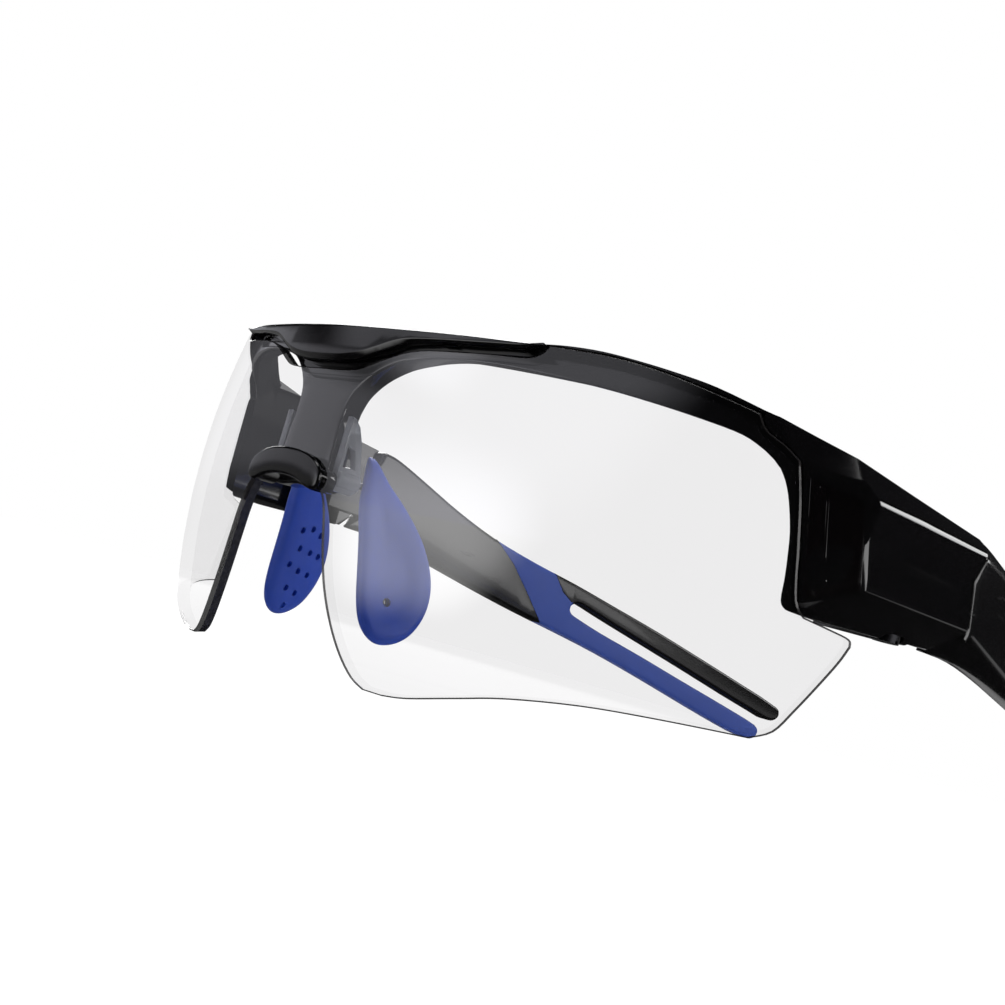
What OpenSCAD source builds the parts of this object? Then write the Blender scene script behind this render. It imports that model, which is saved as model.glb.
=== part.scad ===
// Half-rim cycling sunglasses: a one-piece clear shield lens, nose pads on wires and forked folding temples.
// Millimetres. The wearer looks along -Y, +Z is up, and the temple called left is on +X.
// The origin is on the floor plane, in the middle of the open glasses seen from above.

/* [Lens] */
// Radius of the lens across the face, seen from above
lens_radius_across = 85.4; // [83:0.2:88]
// Radius of the lens from brow to cheek, seen from the side
lens_radius_down = 112.4; // [108:0.2:118]
// Thickness of the lens
lens_thickness = 2; // [1.8:0.1:2.2]

/* [Frame] */
// Thickness of the brow behind the lens
brow_depth = 3.2; // [3:0.1:4]
// Thickness of the bridge behind the lens
bridge_depth = 2.9; // [2.4:0.1:3]
// Distance from the middle plane to each hinge axis
hinge_x = 64.9; // [64.7:0.1:65]
// Distance from the front of the lens back to the hinge axes
hinge_y = 50; // [49.6:0.1:50.4]

/* [Temples] */
// Distance from the front of the lens back to the end of the upper tine
temple_reach = 183; // [183:0.5:185]
// Thickness of the blue rubber over the core of the temple
grip_skin = 0.7; // [0.5:0.1:0.8]

/* [Nose pads] */
// Thickness of each nose pad in the middle
pad_thickness = 2.4; // [2:0.1:2.6]
// Radius of the wire that carries each nose pad
wire_radius = 0.45; // [0.4:0.01:0.45]

/* [Hidden] */
$fa = 3;
$fs = 0.3;
black = [0.06, 0.06, 0.07];
blue = [0.11, 0.24, 0.66];
clear = [0.85, 0.9, 0.94, 0.45];
smoke = [0.5, 0.53, 0.57, 0.8];
steel = [0.7, 0.71, 0.73];

// Gaps between pieces of the front, and round the lens
fit_gap = 0.1;
lens_edge_gap = 0.15;
// How far the hook and the top lip stand from the front face of the lens
hook_proud = 0.95;
lip_setback = 0.2;
// Lowest point of the lens, and the middle of the whole thing from front to back
lens_foot = -28.4;
plan_middle = (temple_reach - hook_proud) / 2;
// Steps between the chosen points of a smooth outline
smooth_steps = 3;
far_away = 60;
// The patch of the lens surface that is drawn: how far round, and its profile as [nearest, farthest]
layer_sweep = 130;
layer_span = [40, 120];
layer_height = [-35, 25];
// The brow is thick down to one height, and the thinner bridge reaches a little above it
brow_floor = 5;
bridge_ceiling = 6;

// Outlines seen from the front, as [x, z] from the top of the middle plane outward and round
vent_edge = [
    [0, 12], [7.2, 12], [10.2, 13], [14.4, 16], [18, 17.5], [26, 17.9], [33.6, 17.7], [35.2, 18.3], [35, 19.3]
];
vent_boss = [
    [0, 13.4], [6.8, 13.4], [9.4, 14.2], [13.2, 16.9], [17.4, 18.2], [25, 18.6], [32, 18.6], [33.6, 19]
];
lens_top = [[35, 19.3], [42.6, 19.5], [48.1, 19], [53.3, 18], [58, 16.9]];
lens_step = [[58, 16.9], [59.1, 15.1], [61, 13.9], [62.6, 12.5]];
lens_side = [[62.6, 12.5], [63.7, 8], [64.7, 2.2], [65.5, -3.6], [66.3, -5.3]];
lens_tail = [[66.3, -5.3], [68.3, -5.8], [69.8, -6.3], [70.1, -7.2]];
lens_corner = [[70.1, -7.2], [69.4, -9.4], [68.2, -12.7], [66.8, -16.1], [65.3, -19.2], [63.4, -20.7]];
lens_bottom = [
    [63.4, -20.7], [55.6, -21.6], [48.5, -22.6], [40.5, -24.3], [34.6, -26], [28.1, -27.8], [24.5, lens_foot]
];
lens_nose = [
    [21.4, lens_foot], [19.3, -27.3], [17, -24.9], [14.8, -21.5], [12.8, -17.3], [11.3, -12.8],
    [10.3, -9], [9.2, -6.2], [7.4, -4.3], [4, -3], [0, -2.6]
];
brow_top = [
    [0, 18.4], [8, 18.3], [15.8, 18.4], [23, 18.7], [29, 19], [34, 19.4], [37, 19.8],
    [41, 20], [45.1, 19.8], [49.4, 19.4], [53.5, 18.8], [58.2, 17.5]
];
eye_opening = [
    [58.2, 12.4], [56, 13.6], [51.1, 14.9], [45.8, 15.6], [40.3, 15.9], [34, 16.1], [27.5, 16.1],
    [20.4, 15.7], [16.6, 15.2], [13, 14.4], [10.4, 13.1], [8.2, 11.4], [6.6, 9.4], [5.9, 7.2]
];
bridge_side = [[5.9, 7.2], [5.8, 5.2], [6, 2.6], [6.2, -1.5], [6.1, -4.2], [5, -4.9], [2.5, -4.7], [0, -4.5]];
hook_top = [[0, -0.1], [3, -0.3], [5.8, -0.9], [7.8, -2], [8.6, -3.4], [8.3, -4.8], [7, -5.2]];
hook_bottom = [[7, -5.2], [4.2, -4.3], [2, -3.9], [0, -3.8]];
hook_root_top = [[0, -2.8], [4, -3.25], [6.9, -4.4], [7, -5.2]];
hook_reach = 6;
hook_drum = [-42, 15];
// The peg that holds the hook in the bridge
peg_height = -3.4;
peg_radius = 0.4;
peg_end = 4.6;

// The hinge block on the left, as three outlines that cross: from the front, from above and from the side
block_front = [
    [58.3, 17.4], [61, 16.5], [64.5, 14.9], [66.8, 12.9], [69.3, 10.3], [69.3, -0.3], [65.6, -5],
    [62.9, -5], [62.2, -4], [62.1, 0], [62.2, 3.5], [61.8, 6.6], [61.1, 8.9], [60, 10.9], [58.3, 12.4]
];
block_outer = 69.3;
wall_inner = 67.8;
block_rear = 59.9;
cheek_start = [64.4, 29.8];
cheek_end = [block_outer, 35.8];
ear_rear = hinge_y + 3.4;
ear_inner = 62.1;
ear_front = hinge_y - 3;
block_plan = [
    [58.3, 22], [63.7, 28.9], cheek_start, cheek_end, [block_outer, block_rear], [wall_inner, block_rear],
    [wall_inner, ear_rear], [ear_inner, ear_rear], [ear_inner, ear_front], [60.4, 36.8], [58.3, 32]
];
block_side = [
    [22, 20], [31, 16.2], [36, 14.4], [46, 13.5], [block_rear, 12.2],
    [block_rear, -3.9], [46, -4.5], [33, -5.2], [22, -5.2]
];
// Heights of the knuckle, the slot round it and the screw
knuckle_low = -1;
knuckle_high = 8.1;
knuckle_radius = 2.5;
slot_gap = 0.15;
slot_depth = knuckle_radius + 0.3;
screw_radius = 1;
screw_end = 11;
screw_head_radius = 1.9;
screw_head_depth = 1.1;
screw_recess_radius = 2.4;
screw_seat = -3.4;
driver_slot = [0.5, 0.4];
bush_bore = screw_radius + 0.05;
bush_radius = 1.6;
// The insert in the cheek of the hinge block, as [distance back along the cheek, z]
cheek_panel = [[1.7, 10.8], [5.9, 10.1], [6.3, 9.5], [7.3, 0.3], [6.9, -0.3], [3, -2], [1.7, -0.2]];
cheek_rib = [[2.6, 9.2], [3.2, 9.2], [4.9, 0.9], [5.6, 0], [5.2, -0.4], [4.3, 0.6]];
insert_depth = 0.4;
insert_gap = 0.1;

// The temple, as stations [y, inner face x, thickness, lowest z, highest z] from the seam to the tip
temple_seam = 60.15;
stations = [
    [temple_seam, 64.3, 5, -3.9, 12.1], [66, 63.7, 4.85, -4.1, 11], [74, 62.8, 4.6, -5, 8.6],
    [82, 61.9, 4.4, -6.3, 6], [92, 60.8, 4.2, -8, 3.3], [104, 59.4, 3.9, -9.9, 1.1],
    [115, 58.2, 3.7, -11.4, -0.4], [127, 56.9, 3.5, -13.2, -2.4], [141, 55.3, 3.3, -15.8, -4.8],
    [157, 53.5, 3.2, -19, -7.9], [170, 52.1, 3.1, -21.4, -10.5], [temple_reach, 50.7, 3, -22.3, -13.4]
];
arm_chamfer = 1;
tongue_inner = 63.5;
tongue_outer = 66.9;
tongue_rear = temple_seam + 2;
temple_band = [40, 80];
// Seen from the side as [y, z]: the slot between the tines with the ends of both tines, and the rubber part
tine_cut = [
    [115.2, -5.4], [116.2, -4.2], [119.4, -4.5], [126.4, -6], [138.9, -8.5], [152, -11.1], [165.7, -13.9],
    [174.6, -15.6], [179, -16.4], [181.2, -16.2], [182.6, -15.3], [temple_reach, -14], [200, -13], [200, -40],
    [175, -40], [176, -21.8], [177.2, -20.9], [177.6, -20], [177.3, -19.1], [176.4, -18.5], [172.8, -17.6],
    [163.9, -15.9], [150.4, -13.4], [137.3, -10.9], [124.9, -8.7], [118, -7.2], [115.8, -6.4]
];
grip_zone = [
    [92, 8], [108, 8], [107.6, 0.2], [112, -2.8], [117, -5.4], [126, -7.4], [150, -12.3], [170, -16.4],
    [178, -17.6], [200, -18], [200, -40], [110, -40], [110, -12], [104, -6], [98, -0.5], [92, 3.4]
];
// The core inside the rubber, which follows the lower tine
grip_core_outline = [
    [88, 10], [109.4, 10], [108.8, -0.7], [112.4, -3.9], [115, -6.9], [118, -8.1], [124.9, -9.6],
    [137.3, -11.8], [150.4, -14.3], [163.9, -16.8], [172.4, -18.5], [176.2, -19.3], [176.6, -20.2],
    [176, -21], [170, -30], [112, -30], [104, -12], [94, -12], [88, 0]
];

// The nose pad on the left: its plane passes through pad_root, and its outline is seen from the side
pad_root = [7.05, 5, -3];
pad_normal = [-0.947, 0.28, -0.159];
pad_outline = [
    [7.5, 0.3], [9, 0], [11.5, -1.8], [14.2, -4], [16.8, -7], [18.6, -10.2], [19.5, -13.5], [19.2, -17],
    [18, -20], [16.2, -22.2], [14, -23.2], [12, -22.6], [10.4, -20.6], [9.5, -17], [8.9, -13], [8.3, -9],
    [7.4, -5]
];
pad_centre = [13.4, -13.4];
// Rings of the pad from the hollow of its outer face to the crown of its nose face, as [height, scale]
pad_rings = [
    [-0.3, 0.35], [-0.42, 0.62], [-1, 0.86], [-0.8, 0.95], [0, 1], [0.6, 0.96], [0.9, 0.86], [1, 0.5]
];
pad_hollow = -0.25;
pad_crown = 1.04;
wire_x = 7.4;
wire_z = -2.6;
wire_start = 3.6;
wire_bend = 8.7;
wire_tip = [11.65, 13.6, -17];
wire_play = 0.05;
wire_tail_radius = wire_radius - 0.05;
wire_sides = 32;
// The bracket on the left, seen from the side as [y, z]
bracket_plate = [[2.8, 6.2], [4.2, 5.8], [5.4, 3.8], [6.8, 0.8], [6.8, -4], [6.4, -4.4], [2.8, -4.4]];
bracket_inner = 6.7;
bracket_outer = 8.1;
bracket_window = [[3.4, 2.6], [4.4, 2.4], [5.2, 0.8], [5.2, -0.8], [3.4, -0.8]];
bar_front = 5.45;
bar_rear = 6.7;
bar_low = -4;
bar_high = -0.5;

function curve_point(a, b, c, d, t) =
    0.5 * (2 * b + (c - a) * t + (2 * a - 5 * b + 4 * c - d) * t * t + (3 * b - a - 3 * c + d) * t * t * t);
function smooth(points) = [
    for (i = [0:len(points) - 2])
        for (s = [0:smooth_steps - 1])
            curve_point(
                points[max(i - 1, 0)], points[i], points[i + 1],
                points[min(i + 2, len(points) - 1)], s / smooth_steps
            ),
    points[len(points) - 1]
];
function smooth_loop(points) = [
    for (i = [0:len(points) - 1])
        for (s = [0:smooth_steps - 1])
            let (n = len(points))
            curve_point(
                points[(i + n - 1) % n], points[i], points[(i + 1) % n], points[(i + 2) % n], s / smooth_steps
            )
];
function both_sides(half) = concat(half, [for (i = [len(half) - 2:-1:1]) [-half[i].x, half[i].y]]);
function tail(points) = [for (i = [1:len(points) - 1]) points[i]];

lens_lower_half = concat(
    tail(smooth(lens_top)), tail(smooth(lens_step)), tail(smooth(lens_side)), tail(smooth(lens_tail)),
    tail(smooth(lens_corner)), tail(smooth(lens_bottom)), smooth(lens_nose)
);
lens_half = concat(smooth(vent_edge), lens_lower_half);
pocket_half = concat(smooth(vent_boss), [lens_top[0]], lens_lower_half);
frame_half = concat(smooth(brow_top), smooth(eye_opening), tail(smooth(bridge_side)));
hook_half = concat(smooth(hook_top), tail(smooth(hook_bottom)));
hook_root_half = concat(hook_root_top, tail(smooth(hook_bottom)));

// Everything is drawn from the front of the lens, then stood on the floor plane
module seat() {
    translate([0, -plan_middle, -lens_foot]) children();
}

module mirrored(side) {
    mirror([side < 0 ? 1 : 0, 0, 0]) children();
}

module right_or_left(side) {
    seat() mirrored(side) children();
}

// The space between two copies of the lens surface, set back by two distances
module lens_layer(front, back) {
    translate([0, lens_radius_across, 0])
        rotate([0, 0, -90 - layer_sweep / 2])
            rotate_extrude(angle = layer_sweep)
                intersection() {
                    translate([lens_radius_across - lens_radius_down, 0]) difference() {
                        circle(lens_radius_down - front);
                        circle(lens_radius_down - back);
                    }
                    translate([layer_span[0], layer_height[0]])
                        square([layer_span[1] - layer_span[0], layer_height[1] - layer_height[0]]);
                }
}

module from_front(reach = far_away) {
    translate([0, reach, 0]) rotate([90, 0, 0]) linear_extrude(2 * reach) children();
}

module from_side(points, inner, outer) {
    translate([inner, 0, 0]) rotate([90, 0, 90]) linear_extrude(outer - inner) polygon(points);
}

module from_above(points, low, high) {
    translate([0, 0, low]) linear_extrude(high - low) polygon(points);
}

// The room that the lens takes in the pieces that hold it
module lens_pocket(half) {
    intersection() {
        lens_layer(-hook_proud, lens_thickness + fit_gap);
        from_front() offset(delta = lens_edge_gap) polygon(both_sides(half));
    }
}

module peg(radius) {
    translate([0, lens_thickness, peg_height]) rotate([-90, 0, 0])
        cylinder(r = radius, h = peg_end - lens_thickness);
}

// One layer of the frame, kept between two heights
module frame_layer(front, depth, low, high) {
    intersection() {
        lens_layer(front, lens_thickness + fit_gap + depth);
        from_front() polygon(both_sides(frame_half));
        translate([-far_away, -far_away, low]) cube([2 * far_away, 2 * far_away, high - low]);
    }
}

module front_frame() {
    color(black) seat() difference() {
        union() {
            frame_layer(lip_setback, brow_depth, brow_floor, far_away);
            frame_layer(lens_thickness + fit_gap, bridge_depth, -far_away, bridge_ceiling);
        }
        lens_pocket(pocket_half);
        peg(peg_radius + slot_gap / 3);
    }
}

module shield_lens() {
    color(clear) seat() intersection() {
        lens_layer(0, lens_thickness);
        from_front() polygon(both_sides(lens_half));
    }
}

// The same space, but upright like a drum: near enough to the lens on a piece as small as the hook
module hook_layer(front, back) {
    translate([0, lens_radius_across, hook_drum[0]]) difference() {
        cylinder(r = lens_radius_across - front, h = hook_drum[1] - hook_drum[0]);
        cylinder(r = lens_radius_across - back, h = hook_drum[1] - hook_drum[0]);
    }
}

// The lip in front of the lens, and the root that passes under its edge to the bridge
module lens_hook() {
    color(black) seat() {
        intersection() {
            hook_layer(-hook_proud, -fit_gap);
            from_front(hook_reach) polygon(both_sides(hook_half));
        }
        intersection() {
            hook_layer(-hook_proud / 2, lens_thickness + fit_gap);
            from_front(hook_reach) polygon(both_sides(hook_root_half));
        }
        peg(peg_radius);
    }
}

module wire_bore(side) {
    mirrored(side) translate([wire_x, wire_start - fit_gap, wire_z]) rotate([-90, 0, 0])
        cylinder(r = wire_radius + wire_play, h = bar_rear);
}

module nose_bracket() {
    color(smoke) seat() difference() {
        union() {
            for (side = [-1, 1]) mirrored(side) from_side(bracket_plate, bracket_inner, bracket_outer);
            translate([-bracket_inner - fit_gap, bar_front, bar_low])
                cube([2 * (bracket_inner + fit_gap), bar_rear - bar_front, bar_high - bar_low]);
        }
        for (side = [-1, 1]) {
            mirrored(side) from_side(bracket_window, 0, bracket_outer + 1);
            wire_bore(side);
        }
    }
}

module cheek_place() {
    translate([cheek_start.x, cheek_start.y, 0])
        rotate([90, 0, atan2(cheek_end.y - cheek_start.y, cheek_end.x - cheek_start.x)])
            children();
}

module hinge_cylinder(radius, low, high) {
    translate([hinge_x, hinge_y, low]) cylinder(r = radius, h = high - low);
}

module hinge_block(side) {
    slot_front = hinge_y - slot_depth;
    color(black) right_or_left(side) difference() {
        intersection() {
            from_above(block_plan, -10, 20);
            from_front() polygon(block_front);
            from_side(block_side, 50, 75);
        }
        lens_layer(-far_away / 2, lip_setback);
        lens_pocket(lens_half);
        translate([ear_inner - 5, slot_front, knuckle_low - slot_gap])
            cube([
                wall_inner - ear_inner + 5, block_rear - slot_front, knuckle_high - knuckle_low + 2 * slot_gap
            ]);
        hinge_cylinder(screw_radius, screw_seat - 1, screw_end);
        hinge_cylinder(screw_recess_radius, screw_seat - 5, screw_seat);
        cheek_place() translate([0, 0, -insert_depth - insert_gap])
            linear_extrude(5) offset(delta = insert_gap) polygon(cheek_panel);
    }
}

module cheek_insert(side) {
    color(black) right_or_left(side) cheek_place() translate([0, 0, -insert_depth]) {
        linear_extrude(insert_depth / 2) polygon(cheek_panel);
        linear_extrude(insert_depth) polygon(cheek_rib);
    }
}

module hinge_screw(side) {
    color(steel) right_or_left(side) difference() {
        union() {
            hinge_cylinder(screw_radius, screw_seat - 0.1, screw_end);
            hinge_cylinder(screw_head_radius, screw_seat - screw_head_depth, screw_seat);
        }
        translate([hinge_x, hinge_y, screw_seat - screw_head_depth])
            cube([3 * screw_head_radius, driver_slot[0], 2 * driver_slot[1]], center = true);
    }
}

module hinge_bush(side) {
    color(steel) right_or_left(side) difference() {
        hinge_cylinder(bush_radius, knuckle_low, knuckle_high);
        hinge_cylinder(bush_bore, knuckle_low - 1, knuckle_high + 1);
    }
}

// A prism along the temple, between two lists of [y, height]; turn tips its height from +Z to +X
module temple_prism(low, high, turn) {
    edges = concat(low, [for (i = [len(high) - 1:-1:0]) high[i]]);
    rotate([0, turn, 0]) from_side(edges, -3 * far_away, 3 * far_away);
}

// The temple is where four prisms cross, and the two on the diagonals take off its long edges
module temple_loft(inset) {
    c = arm_chamfer - inset * (2 - sqrt(2));
    boxes = [for (s = stations) [s[0], s[1] + inset, s[1] + s[2] - inset, s[3] + inset, s[4] - inset]];
    intersection() {
        temple_prism([for (b = boxes) [b[0], b[3]]], [for (b = boxes) [b[0], b[4]]], 0);
        temple_prism([for (b = boxes) [b[0], b[1]]], [for (b = boxes) [b[0], b[2]]], 90);
        temple_prism(
            [for (b = boxes) [b[0], (b[1] + b[3] + c) / sqrt(2)]],
            [for (b = boxes) [b[0], (b[2] + b[4] - c) / sqrt(2)]],
            45
        );
        temple_prism(
            [for (b = boxes) [b[0], (b[1] - b[4] + c) / sqrt(2)]],
            [for (b = boxes) [b[0], (b[2] - b[3] - c) / sqrt(2)]],
            135
        );
    }
}

// Everything in the temple's band that an outline seen from the side takes in
module temple_slice(points) {
    from_side(points, temple_band[0], temple_band[1]);
}

module temple_fork() {
    difference() {
        temple_loft(0);
        temple_slice(tine_cut);
    }
}

module grip_core() {
    intersection() {
        temple_loft(grip_skin);
        temple_slice(grip_core_outline);
    }
}

module temple_arm(side) {
    tongue = [
        [hinge_y, knuckle_low], [tongue_rear, knuckle_low],
        [tongue_rear, knuckle_high], [hinge_y, knuckle_high]
    ];
    color(black) right_or_left(side) difference() {
        union() {
            difference() {
                temple_fork();
                temple_slice(grip_zone);
            }
            grip_core();
            from_side(tongue, tongue_inner, tongue_outer);
            hinge_cylinder(knuckle_radius, knuckle_low, knuckle_high);
        }
        hinge_cylinder(bush_radius, knuckle_low - 1, knuckle_high + 1);
    }
}

module temple_grip(side) {
    color(blue) right_or_left(side) difference() {
        intersection() {
            temple_fork();
            temple_slice(grip_zone);
        }
        grip_core();
    }
}

module pad_wire(side) {
    reach = wire_tip - [wire_x, wire_bend - wire_radius, wire_z];
    run = norm(reach);
    color(steel) right_or_left(side) {
        translate([wire_x, wire_start, wire_z]) rotate([-90, 0, 0])
            cylinder(r = wire_radius, h = wire_bend - wire_start, $fn = wire_sides);
        translate([wire_x, wire_bend - wire_radius, wire_z])
            rotate([0, acos(reach.z / run), atan2(reach.y, reach.x)])
                cylinder(r = wire_tail_radius, h = run, $fn = wire_sides);
    }
}

// A point of the pad: an outline point shrunk towards the middle, then lifted from the pad's plane
function pad_point(p, height, scale) =
    let (
        flat = pad_centre + scale * (p - pad_centre),
        dy = flat.x - pad_root.y,
        dz = flat.y - pad_root.z,
        x = pad_root.x - (pad_normal.y * dy + pad_normal.z * dz) / pad_normal.x
    )
    [x, flat.x, flat.y] + height * pad_thickness / 2 * pad_normal;

module pad_body() {
    outline = smooth_loop(pad_outline);
    sides = len(outline);
    rings = [for (r = pad_rings) each [for (p = outline) pad_point(p, r[0], r[1])]];
    hollow_middle = pad_point(pad_centre, pad_hollow, 1);
    crown_middle = pad_point(pad_centre, pad_crown, 1);
    last = len(pad_rings) - 1;
    walls = [
        for (i = [0:last - 1])
            for (k = [0:sides - 1])
                let (a = i * sides + k, b = i * sides + (k + 1) % sides)
                each [[a, b + sides, b], [a, a + sides, b + sides]]
    ];
    hollow = [for (k = [0:sides - 1]) [len(rings), k, (k + 1) % sides]];
    crown = [for (k = [0:sides - 1]) [len(rings) + 1, last * sides + (k + 1) % sides, last * sides + k]];
    polyhedron(concat(rings, [hollow_middle, crown_middle]), concat(walls, hollow, crown), convexity = 4);
}

module nose_pad(side) {
    color(blue) right_or_left(side) pad_body();
}

front_frame();
shield_lens();
lens_hook();
nose_bracket();
hinge_block(1);  // hinge_block_left
hinge_block(-1);  // hinge_block_right
cheek_insert(1);  // cheek_insert_left
cheek_insert(-1);  // cheek_insert_right
hinge_screw(1);  // hinge_screw_left
hinge_screw(-1);  // hinge_screw_right
hinge_bush(1);  // hinge_bush_left
hinge_bush(-1);  // hinge_bush_right
temple_arm(1);  // temple_arm_left
temple_arm(-1);  // temple_arm_right
temple_grip(1);  // temple_grip_left
temple_grip(-1);  // temple_grip_right
pad_wire(1);  // pad_wire_left
pad_wire(-1);  // pad_wire_right
nose_pad(1);  // nose_pad_left
nose_pad(-1);  // nose_pad_right
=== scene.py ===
"""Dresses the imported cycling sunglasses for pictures: new shapes, finishes, light and camera.

The sizes are in millimetres from the front of the lens, as in the part's source, and go to the row
frame in metres when a piece is put in its place.
"""

from __future__ import annotations

import logging
import math
from dataclasses import dataclass, field
from enum import Enum
from typing import Any, Callable, Iterable, Sequence

import bpy
from mathutils import Matrix, Vector


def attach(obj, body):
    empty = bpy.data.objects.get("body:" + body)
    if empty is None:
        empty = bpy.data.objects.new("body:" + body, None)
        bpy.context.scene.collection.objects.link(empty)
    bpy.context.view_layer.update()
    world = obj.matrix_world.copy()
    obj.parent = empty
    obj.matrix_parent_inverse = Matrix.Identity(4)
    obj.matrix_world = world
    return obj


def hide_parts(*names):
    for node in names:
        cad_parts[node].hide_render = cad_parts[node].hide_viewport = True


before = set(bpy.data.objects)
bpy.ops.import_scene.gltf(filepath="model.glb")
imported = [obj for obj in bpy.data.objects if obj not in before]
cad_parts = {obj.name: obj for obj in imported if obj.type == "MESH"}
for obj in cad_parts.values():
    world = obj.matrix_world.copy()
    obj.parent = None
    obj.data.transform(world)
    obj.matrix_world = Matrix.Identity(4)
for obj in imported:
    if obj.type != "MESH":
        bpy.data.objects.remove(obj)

LOG = logging.getLogger("sunglasses")
MILLIMETRE = 0.001
# From the front of the lens to the row frame
FRONT_SHIFT = Vector((0.0, -91.025, 28.4))

Point = tuple[float, float]
Outline = list[Point]
Triple = tuple[float, float, float]
Colour = Triple
Place = Callable[[Vector], Vector]
Thing = bpy.types.Object


class Cut(Enum):
    """What a second solid does to the first one."""

    AWAY = "DIFFERENCE"
    WITHIN = "INTERSECT"
    TOGETHER = "UNION"


def drawn(*points: Any) -> Any:
    """Keeps chosen points as a field of a dataclass."""
    return field(default_factory=lambda: list(points))


def seated(point: Vector) -> Vector:
    """Takes a point in millimetres from the front of the lens to the row frame."""
    return (point + FRONT_SHIFT) * MILLIMETRE


def smooth(points: Sequence[Point], steps: int = 4) -> Outline:
    """Runs a smooth curve through chosen points.

    Args:
        points: The points that the curve passes through.
        steps: How many stretches lie between two of them.

    Returns:
        The points along the curve, ends included.
    """
    out: Outline = []
    last = len(points) - 1
    for i in range(last):
        a, b = points[max(i - 1, 0)], points[i]
        c, d = points[i + 1], points[min(i + 2, last)]
        for s in range(steps):
            t = s / steps
            out.append(tuple(
                0.5 * (2 * b[k] + (c[k] - a[k]) * t + (2 * a[k] - 5 * b[k] + 4 * c[k] - d[k]) * t * t
                       + (3 * b[k] - a[k] - 3 * c[k] + d[k]) * t ** 3)
                for k in (0, 1)
            ))
    out.append(tuple(points[last]))
    return out


def joined(*runs: Sequence[Point]) -> Outline:
    """Puts runs of points end to end and drops points that repeat the one before."""
    out: Outline = []
    for run in runs:
        for p in run:
            if not out or math.dist(out[-1], p) > 1e-4:
                out.append(tuple(p))
    return out


def both_sides(half: Sequence[Point]) -> Outline:
    """Closes half an outline that starts and ends on the middle plane with its mirror image."""
    return list(half) + [(-x, z) for x, z in reversed(half[1:-1])]


def grown(outline: Sequence[Point], by: float) -> Outline:
    """Moves each point of a closed outline outward by a small distance."""
    area = sum(a[0] * b[1] - b[0] * a[1] for a, b in zip(outline, [*outline[1:], outline[0]]))
    sign = math.copysign(1, area)
    out: Outline = []
    for i, p in enumerate(outline):
        a, c = Vector(outline[i - 1]), Vector(outline[(i + 1) % len(outline)])
        along = (c - a).normalized()
        out.append((p[0] + sign * along.y * by, p[1] - sign * along.x * by))
    return out


def ring(centre: Point, radius: float, count: int) -> Outline:
    """Even points round a circle."""
    turns = [2 * math.pi * k / count for k in range(count)]
    return [(centre[0] + radius * math.cos(a), centre[1] + radius * math.sin(a)) for a in turns]


def steps_between(low: float, high: float, step: float) -> list[float]:
    """Even places strictly between two ends."""
    count = max(1, round((high - low) / step))
    return [low + (high - low) * i / count for i in range(1, count)]


@dataclass(frozen=True)
class LensSurface:
    """The curved front surface that the lens, the brow and the hook share."""

    across: float = 85.4
    down: float = 112.4

    def place(self, flat: Vector) -> Vector:
        """Bends a flat point [x, depth behind the surface, z] onto the surface.

        Args:
            flat: The point in the flat drawing, in millimetres.

        Returns:
            The point in millimetres from the front of the lens.
        """
        x, depth, z = flat
        reach = self.across - self.down + math.sqrt(self.down ** 2 - z * z)
        y = self.across - math.sqrt(reach * reach - x * x)
        centre = Vector((x, y - self.across, 0.0)) * ((self.across - self.down) / reach)
        outward = (Vector((x, y - self.across, z)) - centre) / self.down
        return Vector((x, y, z)) - outward * depth

    def seat(self, flat: Vector) -> Vector:
        """Bends a flat point onto the surface and takes it to the row frame."""
        return seated(self.place(flat))


SURFACE = LensSurface()


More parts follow.
